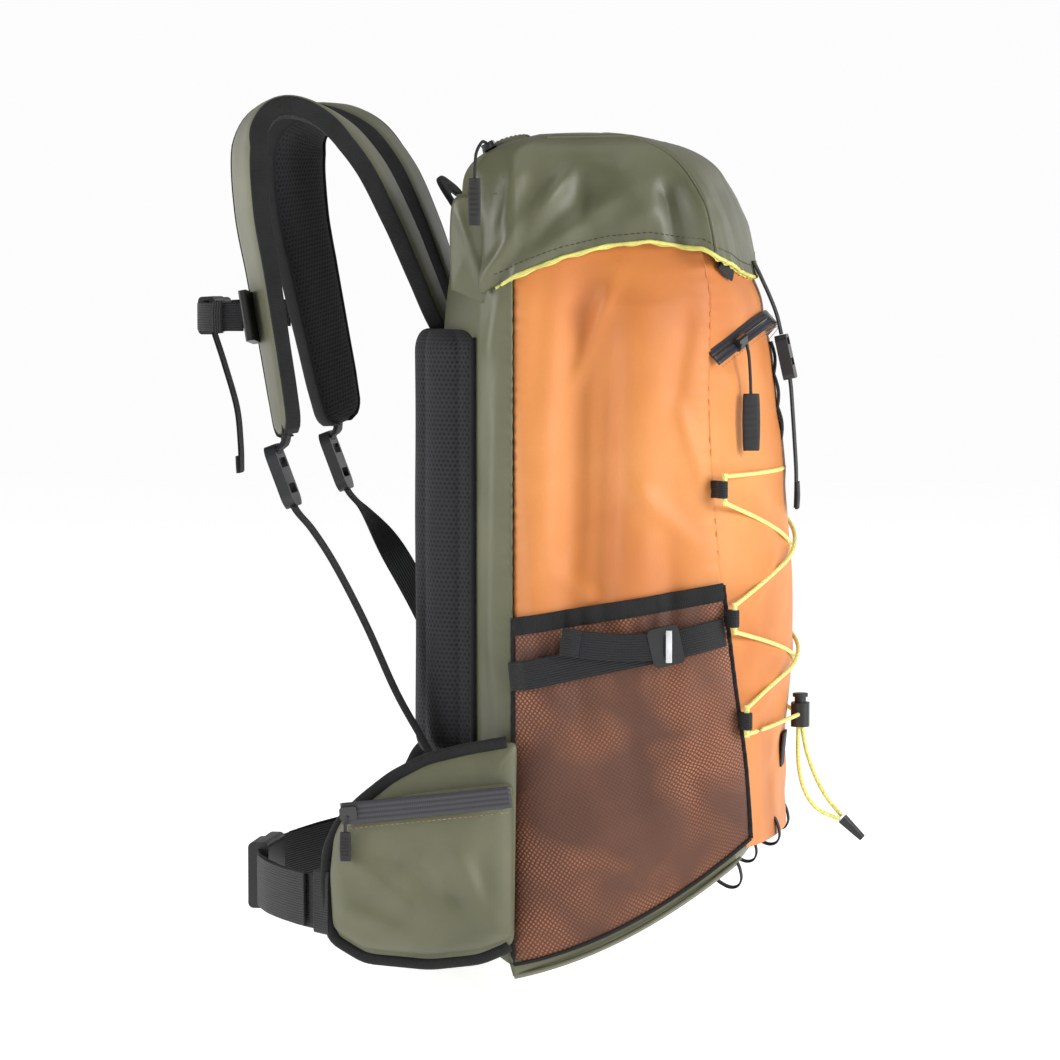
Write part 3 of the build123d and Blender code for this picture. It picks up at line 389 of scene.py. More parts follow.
# %% Node helper
class Finish:
    """A material being built: node() adds and links one node, and relief() adds bump."""

    def __init__(self, name, roughness=0.6, sheen=0.0, coat=0.0, specular=0.5):
        self.material = bpy.data.materials.new(name)
        self.material.use_nodes = True
        self.tree = self.material.node_tree
        self.shader = self.tree.nodes["Principled BSDF"]
        self.shader.inputs["Roughness"].default_value = roughness
        self.shader.inputs["Sheen Weight"].default_value = sheen
        self.shader.inputs["Coat Weight"].default_value = coat
        self.shader.inputs["Specular IOR Level"].default_value = specular
        place = self.tree.nodes.new("ShaderNodeTexCoord")
        self.object, self.uv = place.outputs["Object"], place.outputs["UV"]
        self.bump = None

    def node(self, kind, output=0, settings=None, **inputs):
        """Adds a node; inputs are values or other nodes' outputs, with _ for spaces."""
        made = self.tree.nodes.new("ShaderNode" + kind)
        for key, value in (settings or {}).items():
            setattr(made, key, value)
        for key, value in inputs.items():
            socket = made.inputs[int(key[1:])] if key[1:].isdigit() else made.inputs[
                key.replace("_", " ")]
            if isinstance(value, bpy.types.NodeSocket):
                self.tree.links.new(value, socket)
            else:
                socket.default_value = value
        return made.outputs[output]

    def maths(self, operation, a, b=0.0):
        """One arithmetic step."""
        return self.node("Math", settings={"operation": operation}, i0=a, i1=b)

    def noise(self, scale, detail=3.0, distortion=0.0):
        """Cloudy pattern, from 0 to 1."""
        return self.node("TexNoise", Vector=self.object, Scale=scale, Detail=detail,
                         Distortion=distortion)

    def ribs(self, pitch, across="X"):
        """Sine ribs with a pitch in metres along one axis of the map, moved to go from 0 to 1."""
        axis = 0 if across == "X" else 1
        part = self.node("SeparateXYZ", output=axis, Vector=self.uv)
        wave = self.maths("SINE", self.maths("MULTIPLY", part, 2 * math.pi / pitch))
        return self.maths("ADD", self.maths("MULTIPLY", wave, 0.5), 0.5)

    def ramp(self, factor, *stops):
        """Colours along a factor; each stop is a position and a colour."""
        made = self.tree.nodes.new("ShaderNodeValToRGB")
        elements = made.color_ramp.elements
        for _ in stops[2:]:
            elements.new(0.5)
        for element, (position, colour) in zip(elements, stops):
            element.position = position
            element.color = (*colour, 1.0)
        self.tree.links.new(factor, made.inputs[0])
        return made.outputs[0]

    def mix(self, factor, a, b):
        """Mixes two colours."""
        made = self.tree.nodes.new("ShaderNodeMix")
        made.data_type = "RGBA"
        # a colour mix reads its inputs 0, 6 and 7 and gives its output 2
        for socket, value in ((made.inputs[0], factor), (made.inputs[6], a), (made.inputs[7], b)):
            if isinstance(value, bpy.types.NodeSocket):
                self.tree.links.new(value, socket)
            elif socket.type == "RGBA":
                socket.default_value = (*value, 1.0)
            else:
                socket.default_value = value
        return made.outputs[2]

    def colour(self, value):
        """Links the shader's colour."""
        self.tree.links.new(value, self.shader.inputs["Base Color"])
        return self

    def rough(self, factor, low, high):
        """Roughness that goes from low to high with a factor."""
        spread = self.maths("ADD", self.maths("MULTIPLY", factor, high - low), low)
        self.tree.links.new(spread, self.shader.inputs["Roughness"])
        return self

    def relief(self, height, millimetres, strength=1.0):
        """Adds bump of a real depth; later calls lie on top of earlier ones."""
        made = self.tree.nodes.new("ShaderNodeBump")
        made.inputs["Distance"].default_value = millimetres * MM
        made.inputs["Strength"].default_value = strength
        self.tree.links.new(height, made.inputs["Height"])
        if self.bump is not None:
            self.tree.links.new(self.bump, made.inputs["Normal"])
        self.bump = made.outputs[0]
        self.tree.links.new(self.bump, self.shader.inputs["Normal"])
        return self


# %% [markdown]
# ## Coated pack fabric
# The shell is a tight plain weave with a coating on it. From a step away it reads as a smooth,
# faintly shining cloth with soft dents and slow changes of tone; up close its threads show.
# So its relief has three sizes: dents of centimetres, creases of millimetres, and the weave.

# %% Fabrics
def coated_fabric(name, dark, mid, light, roughness=(0.42, 0.58), thread=0.0011):
    """A slow cloud of tone with darker specks, dents and creases, and a crossed sine weave."""
    cloth = Finish(name, sheen=0.05)
    cloud = cloth.noise(7.0, 3.0, distortion=0.6)
    tone = cloth.ramp(cloud, (0.32, dark), (0.5, mid), (0.7, light))
    speck = cloth.noise(420.0, 2.0)
    cloth.colour(cloth.mix(cloth.maths("MULTIPLY", speck, 0.22), tone, dark))
    cloth.rough(cloth.noise(19.0, 2.0), *roughness)
    cloth.relief(cloth.noise(9.0, 2.0, distortion=1.2), 4.0, 0.35)
    cloth.relief(cloth.noise(34.0, 3.0, distortion=0.8), 0.9, 0.35)
    weave = cloth.maths("MULTIPLY", cloth.ribs(thread), cloth.ribs(thread, "Y"))
    cloth.relief(weave, 0.10, 0.5)
    return cloth.material


green = coated_fabric("coated_green", (0.078, 0.080, 0.042), (0.112, 0.114, 0.063),
                      (0.150, 0.152, 0.088), roughness=(0.34, 0.5))
orange = coated_fabric("coated_orange", (0.52, 0.158, 0.032), (0.64, 0.225, 0.050),
                       (0.72, 0.285, 0.075), roughness=(0.45, 0.6))
yellow_lining = coated_fabric("lining_yellow", (0.62, 0.60, 0.13), (0.75, 0.74, 0.22),
                              (0.84, 0.83, 0.33), thread=0.0007)
grey_lining = coated_fabric("lining_grey", (0.16, 0.165, 0.16), (0.22, 0.225, 0.22),
                            (0.28, 0.285, 0.28), thread=0.0008)


def binding_tape(name, colour):
    """Grosgrain edging: cross ribs a millimetre apart on a dark yarn."""
    tape = Finish(name, roughness=0.75, sheen=0.05, specular=0.3)
    cloud = tape.noise(60.0, 2.0)
    tape.colour(tape.ramp(cloud, (0.3, tuple(0.6 * c for c in colour)), (0.7, colour)))
    tape.relief(tape.ribs(0.0011, "Y"), 0.25, 0.8)
    tape.relief(tape.noise(700.0, 1.0), 0.08, 0.5)
    return tape.material


binding = binding_tape("binding_black", (0.012, 0.0125, 0.0135))
piping_yellow = binding_tape("piping_yellow", (0.83, 0.80, 0.22))
thread_dark = binding_tape("thread_dark", (0.045, 0.046, 0.028))
thread_tan = binding_tape("thread_tan", (0.36, 0.25, 0.13))
print("fabrics", green.name, orange.name, yellow_lining.name)

# %% [markdown]
# ## Meshes and webbing
# Spacer mesh on the pads is black with a hexagonal net of small holes, painted near black inside
# as shade. The side pockets are a thin stretch mesh, through which the orange panel shows in the
# holes, with painted shade where the mesh stands off it. Webbing is woven with ribs along its
# length and a fine cross weave, its crests painted lighter as a highlight.

# %% Meshes, webbing and zip tape
ROW_STEP = 0.866  # rows of a hexagonal net stand this much of a pitch apart


def net(cloth, pitch, turn=0.0, skew=0.5):
    """Distance to the nearest hole of a net with a pitch in metres; skew moves every other row."""
    turned = cloth.node("Mapping", Vector=cloth.uv, Rotation=(0.0, 0.0, turn))
    u = cloth.node("SeparateXYZ", output=0, Vector=turned)
    v = cloth.node("SeparateXYZ", output=1, Vector=turned)
    column = cloth.maths("DIVIDE", u, pitch)
    row = cloth.maths("DIVIDE", v, pitch * ROW_STEP)
    shift = cloth.maths("MULTIPLY", cloth.maths("MODULO", cloth.maths("FLOOR", row), 2.0), skew)
    x = cloth.maths("SUBTRACT", cloth.maths("FRACT", cloth.maths("ADD", column, shift)), 0.5)
    y = cloth.maths("SUBTRACT", cloth.maths("FRACT", row), 0.5)
    return cloth.maths("SQRT", cloth.maths("ADD", cloth.maths("MULTIPLY", x, x),
                                           cloth.maths("MULTIPLY", y, y)))


def spacer_mesh():
    """Black knit with round holes, painted deep black inside them as shade."""
    cloth = Finish("spacer_mesh", roughness=0.85, sheen=0.05, specular=0.25)
    hole = net(cloth, 0.0036)
    # painted shade: the holes are near black as shade inside them, and the knit round them is its
    # own dark grey
    edge = cloth.ramp(hole, (0.22, (0.004, 0.004, 0.005)), (0.36, (0.026, 0.0265, 0.029)))
    cloud = cloth.noise(45.0, 2.0)
    cloth.colour(cloth.mix(cloth.maths("MULTIPLY", cloud, 0.35), edge, (0.038, 0.0385, 0.042)))
    cloth.relief(hole, 0.9, 0.9)
    cloth.relief(cloth.noise(900.0, 1.0), 0.08, 0.4)
    return cloth.material


def pocket_mesh():
    """Brown stretch mesh, with the panel's orange in its holes where it lies close, and painted
    shade darkening the holes where it stands off.
    """
    cloth = Finish("pocket_mesh", roughness=0.62, sheen=0.15)
    hole = net(cloth, 0.0026, turn=math.radians(45), skew=0.0)
    # painted shade: random patches darken the orange seen in the holes, as shade where the mesh
    # stands off the panel
    close = cloth.noise(16.0, 2.0, distortion=0.5)
    inside = cloth.ramp(close, (0.42, (0.11, 0.034, 0.012)), (0.72, (0.50, 0.17, 0.06)))
    yarn = cloth.ramp(cloth.noise(11.0, 2.0), (0.3, (0.060, 0.020, 0.011)),
                      (0.7, (0.115, 0.040, 0.020)))
    opening = cloth.ramp(hole, (0.26, (1, 1, 1)), (0.40, (0, 0, 0)))
    cloth.colour(cloth.mix(opening, yarn, inside))
    cloth.relief(hole, 0.45, 0.8)
    cloth.relief(cloth.noise(26.0, 2.0), 1.2, 0.3)
    return cloth.material


def webbing_finish():
    """Nylon webbing: ribs along it and finer picks across."""
    colour = (0.009, 0.0095, 0.0105)
    cloth = Finish("webbing_black", roughness=0.6, sheen=0.06, specular=0.3)
    ribs = cloth.ribs(0.0017, "X")
    picks = cloth.ribs(0.0012, "Y")
    # painted highlight: where ribs and picks crest together the colour is twice as light
    lit = tuple(2.0 * c for c in colour)
    cloth.colour(cloth.mix(cloth.maths("MULTIPLY", ribs, picks), colour, lit))
    cloth.relief(ribs, 0.35, 0.9)
    cloth.relief(picks, 0.15, 0.7)
    return cloth.material


def zip_finish():
    """Laminated zip tape: satin grey, with broad ribs along it and fine ridges across."""
    tape = Finish("zip_tape", roughness=0.35, coat=0.15)
    lines = tape.ribs(0.0034, "X")
    coil = tape.ribs(0.0013, "Y")
    tape.colour(tape.mix(lines, (0.022, 0.0215, 0.026), (0.036, 0.034, 0.042)))
    tape.relief(lines, 0.22, 0.8)
    tape.relief(coil, 0.12, 0.6)
    return tape.material


def cord_finish():
    """Braided shock cord: a bright, flecked yarn with small raised cells, as braid crossings."""
    cloth = Finish("shock_cord", roughness=0.6, sheen=0.2)
    fleck = cloth.noise(650.0, 2.0)
    cloth.colour(cloth.ramp(fleck, (0.35, (0.62, 0.60, 0.10)), (0.6, (0.87, 0.86, 0.30))))
    cloth.relief(cloth.node("TexVoronoi", Vector=cloth.object, Scale=900.0), 0.35, 0.7)
    return cloth.material


spacer, stretch_mesh, webbing = spacer_mesh(), pocket_mesh(), webbing_finish()
zip_tape, shock_cord = zip_finish(), cord_finish()
print("meshes and webbing ready")

# %% [markdown]
# ## Plastic, rubber and metal
# Buckles are moulded acetal with a fine spark-eroded grain. Zip sliders are lacquered castings,
# smoother and brighter. The pull tabs are matt rubber. All three are nearly black, so their
# difference is in roughness and grain. The same recipe in paler colours serves the ladder's bar
# and the sheet and stays inside the back.

# %% Hard finishes
def moulded(name, colour, low, high, grain=1400.0, coat=0.0):
    """A dark moulding: fine grain in the relief, and handling marks in the roughness."""
    made = Finish(name, coat=coat)
    cloud = made.noise(55.0, 4.0)
    made.colour(made.ramp(cloud, (0.3, colour), (0.75, tuple(1.8 * c for c in colour))))
    made.rough(made.noise(30.0, 4.0), low, high)
    made.relief(made.noise(grain, 1.0), 0.06, 0.5)
    made.relief(made.noise(120.0, 2.0), 0.12, 0.15)
    return made.material


acetal = moulded("acetal_black", (0.009, 0.0095, 0.0105), 0.34, 0.5)
lacquer = moulded("lacquered_metal", (0.010, 0.010, 0.011), 0.16, 0.3, grain=500.0, coat=0.4)
rubber = moulded("pull_rubber", (0.011, 0.011, 0.012), 0.6, 0.75, grain=900.0)
bar_steel = moulded("buckle_bar", (0.42, 0.43, 0.44), 0.3, 0.45)
sheet_white = moulded("back_sheet", (0.55, 0.56, 0.54), 0.4, 0.5)
alloy = moulded("stay_alloy", (0.5, 0.5, 0.52), 0.3, 0.4)
alloy.node_tree.nodes["Principled BSDF"].inputs["Metallic"].default_value = 1.0
print("hard finishes ready")

# %% [markdown]
# ## Folds
# Filled cloth is never smooth: it swells between seams, and long soft folds run from where it is
# held to where it is pulled. A fold here is a ridge whose height falls off as a bell curve on
# both sides of a line and towards the line's ends, so a handful of lines makes a believable
# panel. Small puckers along a seam are a fast wave that fades away from the seam.

# %% Fold helpers
def bell(distance, width):
    """Bell curve: one at zero, nearly nothing two widths away."""
    return np.exp(-(distance / width) ** 2)


def ridges(u, v, lines):
    """Sum of folds on a panel; a line is (u, v, u, v, width, height), its two ends and its size."""
    total = 0.0
    for u0, v0, u1, v1, width, height in lines:
        way = np.array([u1 - u0, v1 - v0], float)
        reach = np.hypot(*way)
        along = ((u - u0) * way[0] + (v - v0) * way[1]) / reach
        off = ((v - v0) * way[0] - (u - u0) * way[1]) / reach
        beyond = np.maximum(np.abs(along - reach / 2) - reach * 0.3, 0) / (reach * 0.25)
        total = total + height * bell(off, width) * bell(beyond, 1.0)
    return total


def crumple(u, v, seed, size, height, count=5):
    """Gentle random relief: a few sine waves in random directions, the same on every run."""
    random = np.random.default_rng(seed)
    total = 0.0
    for angle, phase, stretch in zip(random.uniform(0, math.pi, count),
                                     random.uniform(0, 2 * math.pi, count),
                                     random.uniform(0.7, 1.6, count)):
        total = total + np.sin((u * math.cos(angle) + v * math.sin(angle)) * stretch / size + phase)
    return height * total / count


def puckers(along, away, pitch, depth, reach, seed=0):
    """Fast wave along a seam, uneven in pitch, gone at a reach from it."""
    uneven = along + 1.7 * np.sin(along / 11.0 + seed) + 0.9 * np.sin(along / 5.3 + 2 * seed)
    return depth * np.sin(2 * math.pi * uneven / pitch) * np.exp(-np.maximum(away, 0) / reach)


# %% [markdown]
# ## Side panels
# Each side is one orange panel from the rear seam to the front seam. Filled, it stands out a
# little along its middle, but a broad shallow valley runs down it, where the back half and the
# front half of the load press apart, and folds fan down from the lid's corner.

# %% Orange side panels
def base_height(x):
    """Height of the bag's lower edge: the heel rises to the back, and the front curves up."""
    x = np.asarray(x, float)
    forward = np.maximum(x - 81, 0)  # the straight heel ends a millimetre past the rear seam
    return np.where(x < 80, -200 - (x + 20) * 88 / 116 + 2.5,
                    -279 + 0.2 * forward + 0.0021 * forward**2)


SIDE_FOLDS = [
    (112, 205, 124, -25, 19, -2.6), (164, 205, 166, -25, 19, 1.7), (84, 120, 92, -20, 9, 0.9),
    (128, 215, 118, -20, 13, -5.0), (146, 150, 140, -40, 9, -2.6), (104, 60, 102, -170, 20, 2.6),
    (176, 190, 168, -20, 22, 3.4), (196, 110, 212, 60, 5, 2.0), (150, 205, 120, 130, 6, 1.8),
    (165, 60, 205, 20, 7, 1.6), (100, 200, 93, 110, 8, -1.6), (185, 20, 190, -60, 8, -1.8),
    (112, 0, 150, -25, 7, 1.3), (200, 180, 190, 120, 7, -1.8), (92, 30, 97, -60, 6, 1.2),
]


def side_out(x, z, front):
    """How far the side panel stands out of its flat pattern, in millimetres."""
    share = np.clip((x - SEAM_X) / (front - SEAM_X), 0, 1)
    under_lid = np.clip((226 - z) / 40, 0, 1)
    above_base = np.clip((z - base_height(x)) / 60, 0, 1) ** 0.6
    swell = 8.0 * (1 - (2 * share - 1) ** 6) * under_lid * above_base - 1.5
    folds = 2.0 * ridges(x, z, SIDE_FOLDS) * under_lid + crumple(x, z, 3, 24.0, 2.4)
    return (swell + folds * np.sin(math.pi * share) ** 0.5 * above_base
            + puckers(z, x - SEAM_X, 8.5, 0.55, 7.0) + puckers(z, front - x, 9.5, 0.6, 8.0, 2))


def side_panel(hand):
    """Grid of the side panel: columns from rear seam to front seam, rows from top to base."""
    share = np.linspace(0, 1, 70)[None, :]
    fall = np.linspace(0, 1, 190)[:, None]
    x = SEAM_X + share * (222 - SEAM_X)
    # the front seam's place depends on the height, and the height on the place: a few rounds
    for _ in range(4):
        z = RIM_Z + fall * (base_height(x) + BASE_EDGE - RIM_Z)
        front = bag_at(np.maximum(z, SEAM_LOW_Z))[..., FRONT_SEAM]
        x = SEAM_X + share * (front - SEAM_X)
    y = side_y(x) + side_out(x, z, front)
    return np.stack([x, hand * y, z], axis=2)


for hand, side in SIDES:
    points = side_panel(hand)
    if hand < 0:
        points = points[:, ::-1]
    panel = thick(surface(f"side_cloth_{side}", points), 1.2)
    dressed(panel, "root", orange, [f"side_panel_{side}"])

# %% [markdown]
# ## Front panel
# The front is one panel curved round the bag. The lacing crosses it and draws its edges in, so
# it swells between the crossings, and it ends under the lid at the top. The zip's tape lies flat
# on it, along a circle through the zip's top and its two ends. The cloth needs that circle too,
# so it comes first: half the chord and the rise give its radius.

# %% Circle of the front zip
ZIP_TOP, ZIP_END, ZIP_END_Y = np.array([244.0, 0, 174]), np.array([214.5, 0, 148]), 110.0
zip_rise = np.linalg.norm(ZIP_TOP - ZIP_END)
ZIP_OUT = (ZIP_TOP - ZIP_END) / zip_rise
ZIP_UP = np.array([-ZIP_OUT[2], 0, ZIP_OUT[0]])
ZIP_RADIUS = (ZIP_END_Y**2 + zip_rise**2) / (2 * zip_rise)
ZIP_HALF = math.asin(ZIP_END_Y / ZIP_RADIUS)
ZIP_CENTRE = ZIP_TOP - ZIP_RADIUS * ZIP_OUT
print("zip circle", np.round(ZIP_CENTRE, 2), "radius", round(float(ZIP_RADIUS), 2))

# %% Orange front panel
LACE_ROWS = (59.0, -30.0, -101.0)
FRONT_FOLDS = [
    (-95, 140, -60, 95, 9, 2.2), (95, 140, 62, 92, 9, 2.2), (-80, 60, -20, 20, 9, -2.0),
    (80, 60, 22, 20, 9, -2.0), (-95, -30, -50, 10, 8, 2.0), (95, -30, 50, 10, 8, 2.0),
    (-90, -100, -30, -60, 10, 2.4), (90, -100, 30, -60, 10, 2.4), (-60, -150, 0, -120, 12, -2.0),
    (60, -165, 10, -140, 10, 2.0), (0, 100, 5, 60, 16, 2.0),
]


def front_point(across, z):
    """Point of the front: an arc through both seams and the middle, for across from -1 to 1."""
    row = bag_at(z)
    seam_x, nose_x = row[..., FRONT_SEAM], row[..., NOSE]
    half = side_y(seam_x)
    rise = nose_x - seam_x
    radius = (half**2 + rise**2) / (2 * rise)
    turn = across * np.arcsin(half / radius)
    y = radius * np.sin(turn)
    out = np.stack([np.cos(turn), np.sin(turn), 0 * turn], axis=-1)
    place = np.stack([nose_x - radius + radius * np.cos(turn), y, z + 0 * turn], axis=-1)
    return place, out


def front_swell(y, z, edge):
    """Relief of the front cloth, pulled in at the seams and at each lacing row."""
    rows = sum(bell(z - row, 16.0) for row in LACE_ROWS)
    return (2.2 * np.clip(edge / 26.0, 0, 1) - 1.2 + ridges(y, z, FRONT_FOLDS)
            - 2.6 * rows * np.exp(-np.maximum(edge, 0) / 22.0)
            + crumple(y, z, 8, 19.0, 1.3) + puckers(z, edge, 9.0, 0.5, 7.0, 4))


across = np.linspace(-1, 1, 110)[None, :]
z = np.linspace(RIM_Z, -190, 170)[:, None] + 0 * across
place, out = front_point(across + 0 * z, z)
edge = 118 * (1 - np.abs(across)) + 0 * z
by_zip = bell(np.sum((place - ZIP_CENTRE) * ZIP_UP, axis=-1), 11.0)
relief = front_swell(place[..., 1], z, edge) * (1 - by_zip) - 1.6 * by_zip
place = place + out * relief[..., None]
front_cloth = thick(surface("front_cloth", place[:, ::-1]), 1.2)
dressed(front_cloth, "root", orange, ["front_panel"])

# %% [markdown]
# ## Back, side strips and base
# The olive cloth wraps the back, turns the corner as a strip beside the pads, and forms the base
# with its cut-up heel. It is one surface round the back and one under the bag, with a narrow
# cuff on each side that closes the base up to the side panel.

# %% Olive back and strips
BACK_TOP, STRIP_WIDE = 262, 26
# shares of the half outline at which the pads' edge and the corner lie
PADS_EDGE, CORNER_AT = 0.48, 0.78


def back_line(share, z):
    """Half outline of the back: middle, edge of the pads, corner, then the rear seam."""
    share, z = np.broadcast_arrays(share, z)
    reach = np.abs(share)
    rear_x = bag_at(z)[..., REAR]
    flare = np.interp(reach, [0.0, PADS_EDGE, CORNER_AT, 1.0],
                      [0, REAR_HALF, CORNER_Y + 1.5, SEAM_Y])
    ramp_in = np.clip((reach - PADS_EDGE) / (CORNER_AT - PADS_EDGE), 0, 1)
    to_corner = rear_x + (CORNER_X - rear_x) * ramp_in
    to_seam = np.interp(reach, [CORNER_AT, 1.0], [CORNER_X, SEAM_X])
    depth = np.where(reach < CORNER_AT, to_corner, to_seam)
    return np.stack([depth, np.sign(share) * flare, z + 0 * share], axis=-1)


share = np.concatenate([-np.linspace(1, 0.02, 60), np.linspace(0.02, 1, 60)])[None, :]
fall = np.linspace(0, 1, 150)[:, None]
x_guess = back_line(share, 0 * fall + 0 * share)[..., 0]
z = BACK_TOP + fall * (base_height(x_guess) + 2 - BACK_TOP)
back = back_line(share + 0 * z, z)
strip = np.clip((np.abs(share) - CORNER_AT) / (1 - CORNER_AT), 0, 1) + 0 * z
swell = (2.6 * np.sin(math.pi * strip) + ridges(strip * STRIP_WIDE, z, [
    (14, 120, 10, -60, 5, 1.3), (18, 190, 8, 150, 5, 1.6), (6, -60, 16, -180, 5, -1.2)])
    * (strip > 0) + puckers(z, (1 - strip) * STRIP_WIDE, 9.0, 0.6, 6.0, 1))
back[..., 1] += np.sign(share) * np.where(strip > 0, swell, 0) * 0.9
back[..., 0] -= np.where(strip > 0, swell, 0) * 0.35
back_cloth = thick(surface("back_cloth", back[:, ::-1]), 1.2)
dressed(back_cloth, "root", green, ["back_wall", "back_yoke"])

# %% Olive base
BASE_PATH = [(22, -230), (50, -252), (78, -275), (92, -277), (125, -267), (168, -249),
             (205, -226), (232, -204), (243, -187)]
spine = curve_through([(x, 0, z) for x, z in BASE_PATH], 80)
half = np.where(spine[:, 0] < SEAM_X,
                np.interp(spine[:, 0], [BASE_PATH[0][0], CORNER_X, SEAM_X],
                          [REAR_HALF, CORNER_Y, SEAM_Y]), side_y(spine[:, 0]))
across = np.linspace(-1, 1, 90)[None, :]
tangent = unit(np.gradient(spine, axis=0))
inward = np.stack([-tangent[:, 2], 0 * half, tangent[:, 0]], axis=1)
lift = 13.0 * np.abs(across) ** 9 + crumple(spine[:, :1], across * 120, 5, 24.0, 1.6)
base = spine[:, None] + inward[:, None] * lift[..., None]
base[..., 1] = across * (half[:, None] - 1.5 * (1 - np.abs(across) ** 8))
base_cloth = thick(surface("base_cloth", base), 1.2)
dressed(base_cloth, "root", green, ["bottom_panel"])
for hand, side in SIDES:
    x = np.linspace(SEAM_X - 1, 232, 90)[None, :]
    down = np.linspace(0, 1, 9)[:, None]
    roll = side_y(x) + 0.6 + 2.6 * np.sin(math.pi * down) ** 0.7 - 4.0 * down**3
    cuff = np.stack([x + 0 * down, hand * roll, base_height(x) + BASE_EDGE - 15 * down], axis=2)
    cuff = thick(surface(f"base_cuff_{side}", cuff if hand > 0 else cuff[:, ::-1]), 1.2)
    dressed(cuff, "root", green)

# %% [markdown]
# ## Collar
# Under the lid the bag ends in a thin yellow collar, gathered and drawn in. It shows when the lid
# is open.

# %% Yellow collar
turn = np.linspace(0, 2 * math.pi, 160, endpoint=False)[None, :]
rise = np.linspace(0, 1, 26)[:, None]
cs, sn = np.cos(turn), np.sin(turn)
half_x = 78 - 9 * rise
half_y = 112 - 16 * rise
round_x = np.sign(cs) * np.abs(cs) ** 0.55
round_y = np.sign(sn) * np.abs(sn) ** 0.55
gather = 1.9 * np.sin(turn * 34 + 1.5 * np.sin(turn * 5)) * (0.25 + rise)
collar = np.stack([124 + (half_x + gather) * round_x, (half_y + gather) * round_y,
                   228 + 33 * rise + 1.2 * np.sin(turn * 7) * rise], axis=2)
collar_cloth = thick(surface("collar_cloth", collar, wrap=True), 1.0)
dressed(collar_cloth, "root", yellow_lining, ["collar"])

# %% [markdown]
# ## Lid
# The lid is a cap of olive cloth with square shoulders and a crowned top. One surface covers it:
# round the pack one way, and from the hem up over the shoulder to the crown the other way. The
# hem rises over the side, so each column starts at its own height. It hangs on the back of the
# pack, where its cloth goes on down into the back panel.

# %% Olive lid
HEM = np.array([(60, 191), (64, 196), (84, 207), (113, 219), (143, 227), (172, 230), (205, 225),
                (220, 212), (230, 200), (238, 195.5)], float)
LID_MIDDLE, FLAT = np.array([124.0, 0.0, 0.0]), np.array([1, 1, 0])
SHOULDER_Z, CROWN_Z, LID_COLUMNS = 262, 303, 110
# shares of the half outline: rear edge, corner, rear seam, and where the front's arc starts; then
# how much of it the corner and the arc take
REAR_AT, LID_CORNER_AT, LID_SEAM_AT, ARC_AT = 0.22, 0.30, 0.36, 0.66
CORNER_SPAN, ARC_SPAN = 0.08, 0.34


def lid_outline(z, share):
    """Half outline of the lid, from the middle of the back (0) to the middle of the front (1)."""
    row = smooth_at(z, LID_LEVELS[:, 0], LID_LEVELS[:, 1:])
    rear_x, rear_y, corner_x, corner_y, seam_x, off, front_x, nose_x = np.moveaxis(row, -1, 0)
    half = side_y(front_x) + off
    rise = nose_x - front_x
    radius = (half**2 + rise**2) / (2 * rise)
    knots = np.array([0.0, REAR_AT, LID_CORNER_AT, LID_SEAM_AT, ARC_AT])
    xs = np.stack([rear_x, rear_x, corner_x, seam_x, front_x], axis=-1)
    ys = np.stack([0 * rear_y, rear_y, corner_y, side_y(seam_x) + off, half], axis=-1)
    i = np.clip(np.searchsorted(knots, share, side="right") - 1, 0, len(knots) - 2)
    f = np.clip((share - knots[i]) / (knots[i + 1] - knots[i]), 0, 1)
    pick = np.broadcast_to(i, row.shape[:-1])[..., None]
    x, y = (np.take_along_axis(places, pick, -1)[..., 0] * (1 - f)
            + np.take_along_axis(places, pick + 1, -1)[..., 0] * f for places in (xs, ys))
    turn = (1 - np.clip((share - ARC_AT) / ARC_SPAN, 0, 1)) * np.arcsin(half / radius)
    arched = share > ARC_AT
    x = np.where(arched, nose_x - radius + radius * np.cos(turn), x)
    y = np.where(arched, radius * np.sin(turn), y)
    return x, y


LID_FOLDS = [
    (58, 196, 118, 276, 7, 3.0), (66, 192, 96, 250, 5, -2.4), (92, 214, 150, 262, 8, 1.8),
    (200, 268, 214, 205, 9, 3.0), (184, 270, 196, 222, 7, -2.6), (214, 250, 228, 200, 6, 1.6),
    (150, 284, 168, 240, 12, 1.6), (120, 284, 130, 238, 10, -1.8), (74, 232, 84, 280, 6, 1.6),
]


